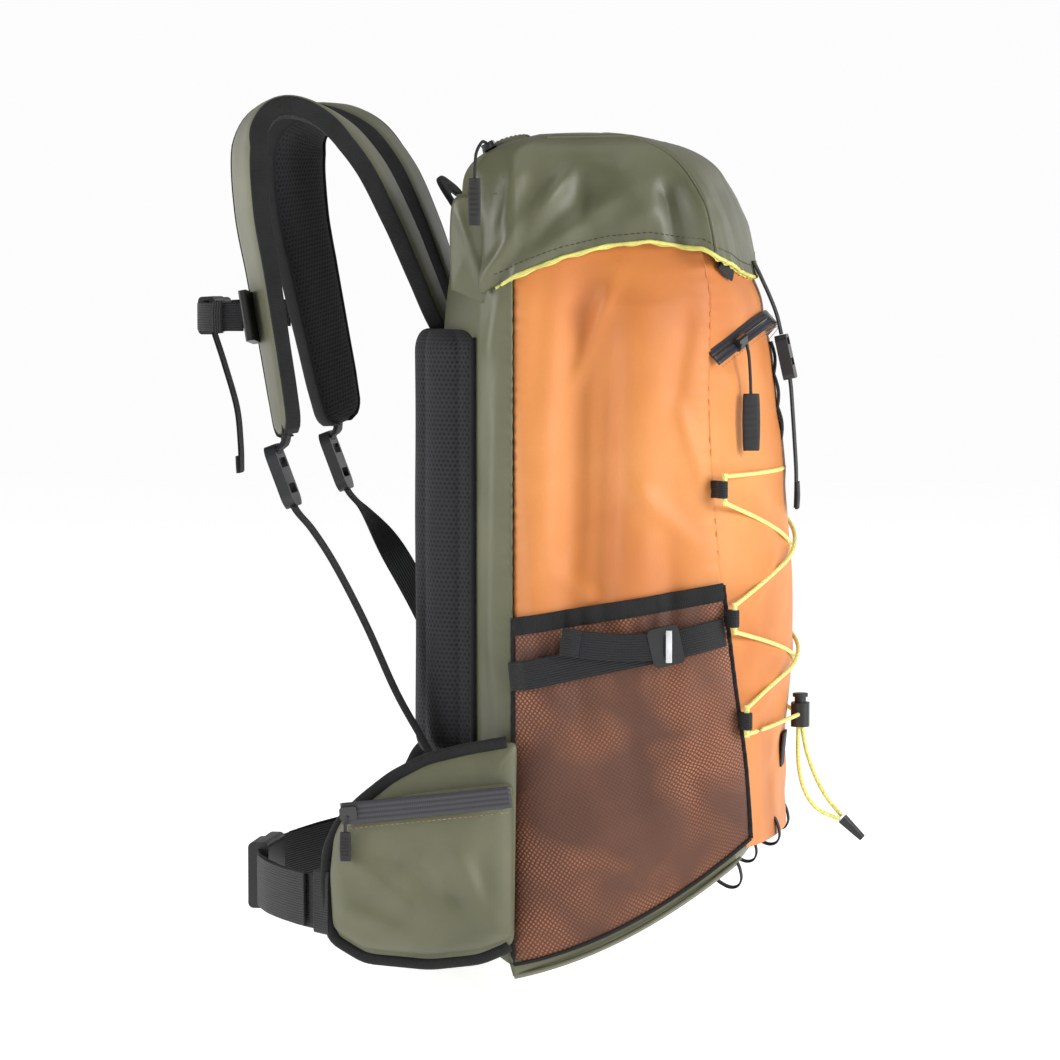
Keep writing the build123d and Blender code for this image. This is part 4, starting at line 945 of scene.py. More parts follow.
def lid_grid():
    """Rows from hem to crown, columns round the pack from back to back."""
    around = np.concatenate([np.linspace(0.004, 1, LID_COLUMNS),
                             np.linspace(1, 0.004, LID_COLUMNS)[1:]])[None, :]
    hand = np.where(np.arange(around.shape[1]) < LID_COLUMNS, -1.0, 1.0)[None, :]
    up = np.linspace(0, 1, 70)[:, None]
    guess_x = lid_outline(np.full(around.shape, 235.0), around)[0]
    hem = np.interp(guess_x, HEM[:, 0], HEM[:, 1])
    drop = np.clip((around - REAR_AT) / CORNER_SPAN, 0, 1)
    hem = np.where(around < LID_CORNER_AT, 255 - 63.5 * drop, hem)
    z = hem + (CROWN_Z - hem) * up
    x, y = lid_outline(z, around + 0 * z)
    fold = 2.6 * ridges(x, z, LID_FOLDS) * np.clip((y - 60) / 30, 0, 1) + 1.5
    fold = fold + crumple(x + 0.4 * y, z, 12, 23.0, 3.2)
    fold = fold + puckers(x + y, z - hem, 10.0, 0.8, 9.0, 3)
    over = np.clip(z - SHOULDER_Z, 0, CROWN_Z - SHOULDER_Z)
    out = unit(np.stack([(x - LID_MIDDLE[0]) / 1.1, y, over * 1.6], axis=-1))
    fold = fold * np.clip((around - 0.1) / 0.2, 0.15, 1)
    side = np.stack([x, y, z], axis=-1) + out * fold[..., None]
    inward = np.linspace(0, 1, 34)[1:, None]
    top_x, top_y, top_z = side[-1, :, 0][None], side[-1, :, 1][None], side[-1, :, 2][None]
    reach = np.sin(inward * math.pi / 2)
    ripple = crumple(top_x * (1 - reach), top_y * (1 - reach), 21, 26.0, 1.3) * inward
    crown_z = top_z + 5.0 * (1 - (1 - inward) ** 2) - 2.2 * inward + ripple
    crown = np.stack([top_x + (LID_MIDDLE[0] - top_x) * reach, top_y * (1 - reach), crown_z],
                     axis=-1)
    grid = np.concatenate([side, crown])
    grid[..., 1] *= hand
    return grid, around


lid_points, lid_around = lid_grid()
lid_cloth = thick(surface("lid_cloth", lid_points, wrap=True), 1.4)
dressed(lid_cloth, "lid", green, ["lid_shell"])

# %% [markdown]
# ## Hem of the lid
# A round yellow piping is sewn along the hem, with a row of stitches above it. Inside the hem
# a gathered yellow channel holds the elastic. A round seam runs along each shoulder of the crown
# and down the front corner to the hem.

# %% Piping, gathers, stitches and seams on the lid
def column_at(share):
    """The lid's first column at a share of its half outline."""
    return int(np.argmin(np.abs(lid_around[0, :LID_COLUMNS] - share)))


hem_from = column_at(0.32)
hem_line = lid_points[0, hem_from:lid_points.shape[1] - hem_from]
piping = sweep("lid_piping", hem_line + np.array([0, 0, -0.9]), ring(1.3, 10), (0, 0, 1))
dressed(piping, "lid", piping_yellow)
inner = hem_line + (LID_MIDDLE - hem_line) * FLAT * 0.022
drop = np.linspace(0, 1, 8)[:, None]
wave = np.sin(np.arange(len(hem_line)) * 1.35)[None, :]
gathers = np.stack([
    inner[None, :, 0] + 0 * drop, inner[None, :, 1] * (1 + 0.006 * wave * drop),
    inner[None, :, 2] + 3 - drop * (5.6 + 0.7 * wave)], axis=2)
gather_cloth = thick(surface("lid_elastic_channel", gathers), 1.0)
dressed(gather_cloth, "lid", yellow_lining)
hem_out = unit((hem_line - LID_MIDDLE) * FLAT)
stitch_line = lid_points[5, hem_from:lid_points.shape[1] - hem_from] + hem_out * 0.25
lid_stitch = stitches("lid_hem_stitches", stitch_line, hem_out, 4.2, 3.0, 0.32)
dressed(lid_stitch, "lid", thread_dark)
rear_seam, front_seam = column_at(0.37), column_at(0.662)
last = lid_points.shape[1] - 1
for side, columns, corner in (("left", slice(rear_seam, front_seam + 1), front_seam),
                              ("right", slice(last - front_seam, last - rear_seam + 1),
                               last - front_seam)):
    along = lid_points[67, columns]
    down = lid_points[66:1:-1, corner]
    seam = np.vstack([along, down] if side == "left" else [along[::-1], down])
    outward = unit((seam - LID_MIDDLE) * FLAT)
    dressed(sweep(f"lid_seam_{side}", curve_through(seam + outward * 0.2, 160), ring(1.1, 8),
                  (0.3, 0.1, 1)), "lid", green)

# %% [markdown]
# ## Zip of the lid
# The lid's pocket opens with a zip across its rear slope. The tape is a flat band with a coil
# along its middle; a triangle of cloth, the garage, covers the end of the zip on each side. The
# slider's pull is a loop of cord with a rubber tab.

# %% Lid zip and garage
zip_u = np.linspace(-1, 1, 60)
zip_line = np.stack([63 + 0 * zip_u, 100 * zip_u, 292 - 5.0 * np.abs(zip_u) ** 6], axis=1)
lid_tape = band("lid_zip_band", zip_line, 14, 1.2, (0.88, 0, 0.48), 90)
dressed(lid_tape, "lid", zip_tape, ["lid_zip_tape"])
coil = tube("lid_zip_coil", zip_line + np.array([-0.6, 0, 1.1]), 1.1, 120, 8)
dressed(coil, "lid", lacquer)
for hand, side in SIDES:
    flap = np.array([(52, 92, 292.5), (66, 88, 300), (84, 96, 303), (88, 108, 297),
                     (76, 114, 288), (58, 106, 284.5)], float) * np.array([1, hand, 1])
    middle = flap.mean(axis=0) + np.array([0, 0, 3.2])
    reach = np.linspace(0, 1, 10)[:, None, None]
    outline = curve_through(np.vstack([flap, flap[:1]]), 41)[:-1]
    cap = middle + (outline - middle) * reach + np.array([0, 0, 1.5]) * (1 - reach**2)
    garage = thick(surface(f"lid_zip_garage_{side}", cap if hand < 0 else cap[:, ::-1],
                           wrap=True), 1.0)
    dressed(garage, "lid", green)
    rim = middle + (outline - middle) * 0.9 + np.array([0, 0, 0.45])
    dressed(stitches(f"lid_garage_stitches_{side}", rim, (0, 0, 1), 3.6, 2.4, 0.3), "lid",
            thread_dark)

# %% [markdown]
# ## Pull tabs
# Every zip has the same pull: a short cord from the slider, then a flat rubber tab, wider in the
# middle, with a few ribs for grip.

# %% Pull tabs
def pull_tab(name, cord_points, tab_top, tab_bottom, width, body, node, across=(1, 0, 0)):
    """Cord and ribbed tab of one zip pull, made as one piece."""
    cord_piece = tube(name + "_cord", cord_points, 1.1, 40, 8)
    line = np.linspace(tab_top, tab_bottom, 46)
    down = np.linspace(0, 1, 46)
    wide = 0.88 + 0.12 * np.sin(math.pi * down) ** 0.6
    ribbed = 1.0 + 0.16 * np.sin(down * 2 * math.pi * 9) * (np.abs(down - 0.5) < 0.34)
    tab = sweep(name + "_tab", line, slab(width, 3.4, 3.0, 20), across,
                scale=np.stack([wide, ribbed], axis=1))
    whole = joined(name, [cord_piece, tab])
    return dressed(whole, body, rubber, [node])


pull_tab("lid_pull_tab", [(58, -114, 297), (57, -126, 297), (55, -137, 290), (55, -143, 282),
                          (55, -146, 270)], (55, -146, 272), (55, -146.5, 240), 8.5,
         "lid_pull", "lid_zip_pull")
pull_tab("front_pull_tab", [(236.5, -88.5, 158), (238, -88.5, 150), (239, -88.5, 136),
                            (239.5, -88.5, 122)], (239.7, -88.5, 124), (239.9, -88.5, 84.5),
         12.5, "front_pull", "front_zip_pull", (1, 0.25, 0))

# %% [markdown]
# ## Front closure strap
# A webbing strap comes from under the lid's front hem, runs through a buckle, hooks the ladder
# on the front panel, and its doubled tail hangs down to a folded end. Its first bit stays on the
# lid, and the rest swings from there.

# %% Front strap, ladder and patch
def front_x(z):
    """X of the front panel's middle."""
    return float(bag_at(np.array([float(z)]))[0, NOSE])


dressed(band("front_strap_root", [(233, 0, 215), (236.2, 0, 209), (239.4, 0, 202.2)], 20, 1.6,
             (0, 1, 0), 12), "lid", webbing)
strap_top = band("front_strap_top", [(239.5, 0, 202), (245, 0, 190), (250, 0, 177),
                                     (253.4, 0, 163)], 20, 1.6, (0, 1, 0), 40)
strap_tail = band("front_strap_tail", [(258.5, 0, 139), (260.3, 0, 126), (261.5, 0, 110),
                                       (263, 0, 88), (264.3, 0, 66), (264.3, 0, 50),
                                       (264.0, 0, 40)], 20, 1.7, (0, 1, 0), 70)
fold_end = band("front_strap_fold", [(265.2, 0, 58), (265.6, 0, 48), (265.2, 0, 39)], 20.4, 2.2,
                (0, 1, 0), 24)
dressed(joined("front_strap_web", [strap_top, strap_tail, fold_end]), "front_strap", webbing,
        ["front_strap_webbing"])
ladder = [(front_x(z) + 1.6 + 1.9 * abs(math.sin((z - 88) / 70 * math.pi * 3)), 0, z)
          for z in np.linspace(158, 88, 37)]
dressed(band("front_ladder", ladder, 13, 1.6, (0, 1, 0), 90), "root", webbing,
        ["front_loop_strip"])
patch = [(front_x(z) + 1.3, 0, z) for z in np.linspace(-121, -145, 9)]
dressed(band("front_patch", patch, 26, 1.6, (0, 1, 0), 30, 8.0), "root", rubber)
tab_at_hem = [(218.5, -100, 214), (222, -92, 208.5), (226, -84, 205)]
dressed(band("lid_hem_tab", tab_at_hem, 7, 1.6, (0, 0, 1), 20), "lid", webbing)

# %% [markdown]
# ## Front pocket zip
# The front pocket closes with a laminated zip on an arc across the front, higher in the middle.
# The arc is the circle that was worked out for the front panel, and the frame's slider runs on it.

# %% Front zip
def zip_arc(turn, out):
    """Points on the zip's circle, a given way out from the tape's middle."""
    turn = np.asarray(turn, float)[:, None]
    return ZIP_CENTRE + (ZIP_RADIUS + out) * (ZIP_OUT * np.cos(turn)
                                              + np.array([0, 1.0, 0]) * np.sin(turn))


turns = np.linspace(-ZIP_HALF, ZIP_HALF, 120)
front_tape = sweep("front_zip_band", zip_arc(turns, 2.1), slab(12.5, 1.2, 8.0), ZIP_UP)
dressed(front_tape, "root", zip_tape, ["front_zip_tape"])
front_coil = sweep("front_zip_coil", zip_arc(turns, 2.5), ring(0.9, 8), ZIP_UP)
dressed(front_coil, "root", lacquer)
for name, shift in (("upper", 8.4), ("lower", -8.4)):
    line = zip_arc(turns, 1.0) + ZIP_UP * shift
    dressed(stitches(f"front_zip_stitches_{name}", line, unit(line - ZIP_CENTRE), 3.8, 2.6, 0.3),
            "root", thread_tan)

# %% [markdown]
# ## Back pads
# Two tall pads of foam under black spacer mesh stand off the back, with a narrower one on the
# spine between them and a wide one at the waist. Each is sewn down in long channels, so its
# outline in plan is a row of lobes. The plan is a closed curve carried up the back, and its ends
# close like a cushion's.

# %% Pads
def lofted_pad(name, plan, bottom, top, node, round_height=16.0):
    """A closed plan curve carried upwards; near both ends it shrinks as a circle's edge does."""
    plan = np.asarray(plan, float)
    middle = plan.mean(axis=0)
    rise = 0.5 - 0.5 * np.cos(math.pi * np.linspace(0, 1, 110))
    z = bottom + (top - bottom) * rise
    near = np.clip(np.minimum(z - bottom, top - z) / round_height, 0, 1)
    size = 0.55 + 0.45 * np.sqrt(1 - (1 - near) ** 2)
    size[[0, -1]] = 0.0
    waist = 1 + 0.012 * np.sin(z / 23.0)
    grid = middle + (plan[None] - middle) * (size * waist)[:, None, None]
    z = np.broadcast_to(z[:, None], grid.shape[:2])
    pad = surface(name, np.concatenate([grid, z[..., None]], axis=2), wrap=True)
    return dressed(pad, "root", spacer, [node])


def lobed(points, lobes, depth, stop):
    """A closed plan curve with channels: up to a share of it, it is drawn in between lobes."""
    count = 150
    closed = np.vstack([points, points[:1]])
    line = curve_through([(x, y, 0) for x, y in closed], count + 1)[:-1, :2]
    share = np.arange(count) / count
    local = np.clip(share / stop, 0, 1)
    lobe = np.abs(np.sin(math.pi * local * lobes)) ** 0.45
    dip = np.where(share <= stop, depth * (1 - lobe), 0)
    tangent = np.roll(line, -1, axis=0) - np.roll(line, 1, axis=0)
    out = unit(np.stack([tangent[:, 1], -tangent[:, 0]], axis=1))
    centre = line.mean(axis=0)
    out *= np.sign(np.sum(out * (line - centre), axis=1, keepdims=True))
    return line - out * dip[:, None]


PAD_PLAN = np.array([(0.5, -34), (0, -54), (1.5, -76), (7, -94), (17, -108), (31, -117),
                     (46, -121.5), (53, -121.5), (46, -108), (32, -92), (22, -74), (21, -34)])
for hand, side in SIDES:
    plan = lobed(PAD_PLAN, 4, 3.4, stop=0.58) * np.array([1, -hand])
    lofted_pad(f"mesh_pad_{side}", plan if hand < 0 else plan[::-1], -130, 168,
               f"back_pad_{side}")
    edge_line = [(50, hand * 123.2, z) for z in np.linspace(-126, 163, 12)]
    dressed(tube(f"pad_piping_{side}", edge_line, 2.0, 80, 8), "root", binding)
spine_plan = lobed(np.array([(0.3, -25), (0.3, 0), (0.3, 25), (12, 26), (21, 25), (21, 0),
                             (21, -25), (12, -26)]), 2, 1.6, stop=0.36)
lofted_pad("mesh_pad_spine", spine_plan, -124, 167, "spine_pad")

lumbar_u = np.linspace(0, 2 * math.pi, 90, endpoint=False)[None, :]
lumbar_r = np.linspace(0, 1, 26)[:, None]
corner = (np.abs(np.cos(lumbar_u)) ** 5 + np.abs(np.sin(lumbar_u)) ** 5) ** (-1 / 5)
lumbar_y = 74 * lumbar_r * corner * np.cos(lumbar_u)
lumbar_z = -178 + 47 * lumbar_r * corner * np.sin(lumbar_u)
dome = (1 - lumbar_r**4) ** 0.5
channel = 2.2 * (bell(lumbar_y - 25, 3.2) + bell(lumbar_y + 25, 3.2)) * dome
lumbar_face = np.stack([20 - 17 * dome + channel, lumbar_y, lumbar_z], axis=2)
lumbar_back = np.stack([20.5 + 0 * lumbar_y, lumbar_y, lumbar_z], axis=2)[::-1]
lumbar = surface("mesh_pad_lumbar", np.concatenate([lumbar_face[:, ::-1], lumbar_back[:, ::-1]]),
                 wrap=True)
dressed(lumbar, "root", spacer, ["lumbar_pad"])

# %% [markdown]
# ## Shoulder straps
# A strap is a curved slab of foam: olive cloth on its outer face, black spacer mesh against the
# shoulder, and a black binding round its edge. The slab is one closed profile carried along the
# strap's line. Which finish a face gets depends on where it sits in the profile.

# %% Shoulder straps
STRAP_ROUTE = [
    (21, -44, 161), (12, -46, 180), (2, -50, 206), (-14, -58, 246), (-33, -66, 284),
    (-57, -73, 311), (-84, -78, 323), (-104, -80, 317), (-115, -80, 295), (-113, -82, 250),
    (-105, -85, 207), (-97, -90, 164), (-89, -95, 121), (-84, -99, 94),
]
STRAP_WIDTHS = [52, 57, 62, 66, 66, 66, 66, 66, 66, 64, 60, 57, 54, 46]
STRAP_FOAM, STRAP_ROWS = 16.0, 150
OLIVE_FACE, MESH_FACE, BOUND_EDGE = 0, 1, 2


def strap_profile():
    """A section one unit wide and one thick: a superellipse with soft faces and rounder edges."""
    angle = np.linspace(0, 2 * math.pi, 48, endpoint=False)
    c, s = np.cos(angle), np.sin(angle)
    x = np.sign(c) * np.abs(c) ** 0.42
    y = np.sign(s) * np.abs(s) ** 0.75
    return np.stack([x * 0.5, y * 0.5], axis=1)


for hand, side in SIDES:
    route = np.array(STRAP_ROUTE, float) * np.array([1, -hand, 1])
    line = curve_through(route, STRAP_ROWS)
    along = np.linspace(0, 1, STRAP_ROWS)
    width = np.interp(along, np.linspace(0, 1, len(STRAP_WIDTHS)), STRAP_WIDTHS)
    tip = np.clip(np.minimum(along, 1 - along) / 0.03, 0, 1)
    size = 0.35 + 0.65 * np.sqrt(1 - (1 - tip) ** 2)
    foam = STRAP_FOAM * (0.82 + 0.18 * np.sin(math.pi * np.clip(along * 1.15, 0, 1)))
    profile = strap_profile()
    grid_slot = np.where(profile[:, 1] > 0.12, OLIVE_FACE, MESH_FACE)
    grid_slot = np.where(np.abs(profile[:, 0]) > 0.487, BOUND_EDGE, grid_slot)
    slots = np.tile(grid_slot, (STRAP_ROWS - 1, 1))
    lean = math.radians(24) * np.clip((along - 0.35) / 0.2, 0, 1)
    twist = np.stack([hand * np.sin(lean), np.cos(lean), 0 * lean], axis=1)
    strap = sweep(f"strap_pad_{side}", line, profile, twist,
                  scale=np.stack([width * size, foam * size], axis=1), faces_slot=slots)
    dressed(strap, "root", [green, spacer, binding], [f"shoulder_strap_{side}"])
    tangent = unit(np.gradient(line, axis=0))
    across = unit(twist - tangent * np.sum(twist * tangent, axis=1, keepdims=True))
    for edge in (-1, 1):
        rim = line + across * (edge * (width / 2 - 1.2) * size)[:, None]
        dressed(sweep(f"strap_binding_{side}_{'in' if edge * hand < 0 else 'out'}", rim,
                      slab(4.4, 13.0, 3.0, 18), twist,
                      scale=np.stack([size, foam / STRAP_FOAM], axis=1)),
                "root", binding)
    end_nub = [line[-14], line[-5], line[-1] + np.array([-2.5, 0, -5]), (-91.0, hand * 100, 84),
               (-92.2, hand * 101, 74)]
    dressed(band(f"strap_end_web_{side}", end_nub, 21, 4.0, (0, 1, 0), 24), "root", webbing)

# %% [markdown]
# ## Webbing below the shoulder straps
# A webbing leaves each ladder lock and runs down to the foot of the pack, where a triangle of
# cloth anchors it. The right one leaves its lock flat and then twists, so that its face turns to
# the view. The haul loop is a short thick webbing across the top of the back.

# %% Lower webbing and haul loop
LOWER_WEB = [(-85.5, -101, 56), (-78.5, -102, 41.5), (-66, -103.5, 27), (-49, -107, 2),
             (-27, -112, -38), (-5, -117, -84), (14, -121, -116), (24, -123, -134)]
TWIST_FROM, TWIST_OVER, TWISTED = 0.12, 0.25, np.array([0.85, 0.25, 0.45])
for hand, side in SIDES:
    route = np.array(LOWER_WEB) * np.array([1, -hand, 1])
    share = np.linspace(0, 1, 90)[:, None]
    turned = np.clip((share - TWIST_FROM) / TWIST_OVER, 0, 1) * (hand > 0)
    facing = unit(np.array([0, 1, 0]) * (1 - turned) + TWISTED * turned)
    web = band(f"lower_web_{side}", route, 20, 1.7, facing, 90)
    anchor = np.array([(22, -136), (34, -131), (50, -139), (52, -176), (40, -170)])
    middle = anchor.mean(axis=0)
    ring_line = curve_through([(x, 0, z) for x, z in np.vstack([anchor, anchor[:1]])], 41)[:-1]
    size = np.linspace(0, 1, 8)[:, None]
    cap = np.stack([middle[0] + (ring_line[:, 0] - middle[0]) * size,
                    hand * (121.7 - 1.4 * size**2) + 0 * ring_line[:, 0],
                    middle[1] + (ring_line[:, 2] - middle[1]) * size], axis=2)
    flap = thick(surface(f"lower_anchor_{side}", cap, wrap=True), 1.6, 0.0)
    dressed(flap, "root", green)
    dressed(web, "root", webbing, ["strap_webbing"] if hand < 0 else ())
haul = sweep("haul_web", curve_through([(27, -34, 250), (18, -31, 262), (13, -18, 268),
                                        (12, 0, 270), (13, 18, 268), (18, 31, 262),
                                        (27, 34, 250)], 70), slab(14, 3.8, 5.0), (-0.6, 0, 0.8))
dressed(haul, "haul", webbing, ["haul_loop"])

# %% [markdown]
# ## Lower corners of the lid at the back
# An olive flap on each side covers the place where the lid's elastic hem ends.

# %% Rear flaps
FLAP = np.array([(35, 196), (62, 187.5), (62.8, 216), (62, 244), (55, 258), (38, 259), (34, 238)],
                float)
for hand, side in SIDES:
    middle = FLAP.mean(axis=0)
    rim = curve_through([(x, 0, z) for x, z in np.vstack([FLAP, FLAP[:1]])], 61)[:-1]
    size = np.linspace(0, 1, 12)[:, None]
    x = middle[0] + (rim[:, 0] - middle[0]) * size
    z = middle[1] + (rim[:, 2] - middle[1]) * size
    lean = np.interp(x, [33, 56, 64], [121.5, 128.8, 131.0])
    puff = 2.6 * (1 - size**3) + ridges(x, z, [(40, 250, 58, 200, 3.5, 1.6)])
    cap = np.stack([x, hand * (lean + puff), z], axis=2)
    flap = thick(surface(f"rear_flap_{side}", cap if hand > 0 else cap[:, ::-1], wrap=True), 1.4)
    dressed(flap, "root", green, ["rear_flaps"] if hand < 0 else ())
    line = np.stack([np.linspace(37, 61, 20), hand * (np.linspace(123, 130.6, 20) + 0.5),
                     np.linspace(202, 194, 20)], axis=1)
    thread = stitches(f"rear_flap_stitches_{side}", line, (0, hand, 0), 3.6, 2.6, 0.35)
    dressed(thread, "root", thread_dark)

# %% [markdown]
# ## Side pockets
# Each pocket is one sheet of stretch mesh, sewn down at both seams and along the base, with a
# bound elastic hem across its mouth. Empty, it still stands a little off the panel, and the
# elastic gathers it. The grid follows the side panel and adds the gap between the two. Below it
# a round seam runs along the base.

# %% Mesh pockets
POCKET_EDGE = 9


def pocket_top(x):
    """Height of the pocket's hem: a straight line that rises to the front."""
    return -31.0 + (np.asarray(x, float) - SEAM_X) * 0.165


POCKET_FOLDS = [
    (100, -60, 150, -200, 12, 1.8), (150, -60, 175, -190, 10, -1.6), (190, -40, 210, -150, 9, 1.6),
    (90, -150, 140, -235, 9, 1.5), (120, -40, 128, -110, 9, -1.4), (215, -60, 200, -180, 7, -1.4),
    (95, -90, 240, -110, 8, 1.0), (100, -200, 200, -150, 9, 1.2),
]


def pocket_point(x, z, front):
    """Place on the pocket mesh of one side, for the wearer's right hand side (positive Y)."""
    share = np.clip((x - SEAM_X) / (front - SEAM_X), 0, 1)
    top, low = pocket_top(x), base_height(x) + POCKET_EDGE
    fall = np.clip((top - z) / (top - low), 0, 1)
    belly = np.sin(math.pi * share) ** 0.55 * (0.62 + 0.38 * np.sin(math.pi * fall))
    gather = 1.3 * np.sin(x * 0.42 + 1.3 * np.sin(x * 0.11)) * np.exp(-fall / 0.12)
    gap = 1.6 + 7.0 * belly + gather * np.sin(math.pi * share)
    wrinkle = ridges(x, z, POCKET_FOLDS) * np.sin(math.pi * share) ** 0.6
    wrinkle = wrinkle + crumple(x, z, 31, 9.0, 0.9) + puckers(z, front - x, 7.5, 0.5, 6.0, 6)
    under = side_out(x, z, front)
    y = side_y(x) + under + np.maximum(gap + 0.8 * wrinkle - 0.45 * np.maximum(under, 0), 1.3)
    return np.stack([x, y, z], axis=-1)


for hand, side in SIDES:
    share = np.linspace(0, 1, 120)[None, :]
    fall = np.linspace(0, 1, 150)[:, None]
    x = SEAM_X + share * 150 + 0 * fall
    for _ in range(5):
        z = pocket_top(x) + fall * (base_height(x) + POCKET_EDGE - pocket_top(x))
        front = bag_at(np.maximum(z, SEAM_LOW_Z))[..., FRONT_SEAM] + 1.0
        x = SEAM_X + share * (front - SEAM_X)
    grid = pocket_point(x, z, front) * np.array([1, hand, 1])
    mesh_sheet = thick(surface(f"pocket_mesh_{side}", grid if hand > 0 else grid[:, ::-1]), 0.9)
    dressed(mesh_sheet, "root", stretch_mesh, [f"side_pocket_{side}"])
    hem = sweep(f"pocket_hem_{side}", grid[0] + np.array([0, hand * 0.6, -4.5]),
                slab(12.5, 2.4, 5.0, 20), (0, 0, 1))
    rear = sweep(f"pocket_rear_edge_{side}", grid[:, 0] + np.array([0.2, hand * 1.8, 0]),
                 slab(3.0, 2.0, 3.0, 12), (1, 0, 0))
    fore = sweep(f"pocket_front_edge_{side}", grid[:, -1] + np.array([0.3, hand * 0.6, 0]),
                 slab(3.0, 2.0, 3.0, 12), (1, 0, 0))
    low = sweep(f"pocket_base_edge_{side}", grid[-1] + np.array([0, hand * 1.0, 0]),
                slab(2.6, 2.0, 3.0, 12), (0, 0, 1))
    edge = joined(f"pocket_binding_{side}", [hem, rear, fore, low])
    dressed(edge, "root", binding)
    seam = tube(f"base_seam_{side}", grid[-1, ::6] + np.array([0, hand * -1.5, -7.5]), 1.3, 90, 8)
    dressed(seam, "root", green)
    print(side, "pocket made")

# %% [markdown]
# ## Compression straps
# A webbing runs over each pocket from the rear seam to the front seam, through a ladder lock near
# the front. Its free end doubles back over it and finishes in a folded hem.

# %% Compression straps
def over_side(s, z, out, hand):
    """Place over the side panel: way along it, height and distance off it."""
    stretch = math.hypot(1, SIDE_SLOPE)
    normal = np.array([SIDE_SLOPE, -1]) / stretch
    x = SEAM_X + s + out * normal[0]
    y = -SEAM_Y + SIDE_SLOPE * s + out * normal[1]
    return (x, y * -hand, z)


COMPRESSION = [(-2, -70, 2.0), (3, -69, 7), (10, -67.5, 15.6), (40, -61, 16.4), (74, -54, 16.8),
               (104, -48, 16.2), (126, -43, 13.0), (143, -39.5, 4.0)]
COMPRESSION_TAIL = [(103, -47.4, 21.6), (92, -47.8, 21.0), (72, -48.4, 19.6), (50, -46.6, 19.4),
                    (33, -44.0, 19.6)]
for hand, side in SIDES:
    main = band(f"compression_web_{side}", [over_side(*p, hand) for p in COMPRESSION], 20, 1.7,
                (0, 0, 1), 90)
    tail = band("tail", [over_side(*p, hand) for p in COMPRESSION_TAIL], 19, 1.7, (0, 0, 1), 60)
    fold = band("fold", [over_side(44, -45.6, 21.3, hand), over_side(37, -44.6, 21.7, hand),
                         over_side(31.5, -43.9, 20.8, hand)], 19.4, 2.6, (0, 0, 1), 16)
    dressed(joined(f"compression_strap_{side}", [main, tail, fold]), "root", webbing,
            ["compression_straps"] if hand < 0 else ())
    bar = band(f"ladder_bar_{side}", [over_side(104, -36.5, 23.4, hand),
                                      over_side(104, -47.5, 23.9, hand),
                                      over_side(104, -58.5, 23.4, hand)], 4.2, 2.6,
               (1, 0.19, 0), 30, 3.0)
    dressed(bar, "root", bar_steel)

# %% [markdown]
# ## Hip belt wings
# A wing is a foam pad in its own flat outline, bound round its edge, with a zipped pocket on its
# outer face. Both are cushions: rings of the outline shrink to the middle while the surface
# rises to its full height. The pad, its binding, pocket, zip and stitches keep their place in
# the scene and ride on no body.

# %% Wings and their pockets
WING_ROOT = np.array([82.0, -143.0])
WING_SLOPE = 0.09
# the right wing stands a little higher at its tip, by this much for each millimetre out
WINGS = ((-1, "left", 0.0), (1, "right", 0.09))
WING = [(2, -113), (-32, -119), (-60, -126), (-84, -139), (-104, -155), (-119, -170),
        (-128, -190), (-129, -215), (-125, -250), (-102, -264), (-58, -268), (-23, -264),
        (0, -254)]
POCKET = [(0, -141), (-60, -148), (-112, -158), (-123, -178), (-126, -205), (-124, -243),
          (-103, -257), (-58, -261), (-23, -257), (0, -248)]


def on_wing(x, z, out, hand, rise):
    """Place on a wing: way along it, height and distance off its inner face."""
    stretch = math.hypot(1, WING_SLOPE)
    place = np.stack([WING_ROOT[0] + x + out * WING_SLOPE / stretch,
                      (WING_ROOT[1] + WING_SLOPE * x - out / stretch), z - rise * x], axis=-1)
    return place * np.array([1, -hand, 1])


def closed_outline(points):
    """Outline through corner points, rounded a little, equally spaced."""
    line = np.vstack([points, points[:1]])
    way = np.concatenate([[0], np.cumsum(np.linalg.norm(np.diff(line, axis=0), axis=1))])
    at = np.linspace(0, way[-1], 140, endpoint=False)
    line = np.stack([np.interp(at, way, line[:, k]) for k in range(2)], axis=1)
    kernel = np.array([1, 2, 3, 2, 1]) / 9
    return sum(w * np.roll(line, k - 2, axis=0) for k, w in enumerate(kernel))


def cushion_face(outline, height, hand, rise, crown, seed, folds=()):
    """Rings from the middle to the outline; height is the edge's and the middle's distance."""
    outline = np.asarray(outline, float)
    middle = outline.mean(axis=0)
    size = np.sin(np.linspace(0, 1, 26) * math.pi / 2)[:, None]
    x = middle[0] + (outline[None, :, 0] - middle[0]) * size
    z = middle[1] + (outline[None, :, 1] - middle[1]) * size
    edge, full = height
    out = edge + (full - edge) * (1 - size**crown) ** 0.62
    wrinkle = ridges(x, z, folds) + crumple(x, z, seed, 14.0, 0.1 * (full - edge))
    wrinkle = wrinkle * np.clip((1 - size) / 0.12, 0, 1)
    return on_wing(x, z, out + wrinkle + 0 * x, hand, rise)


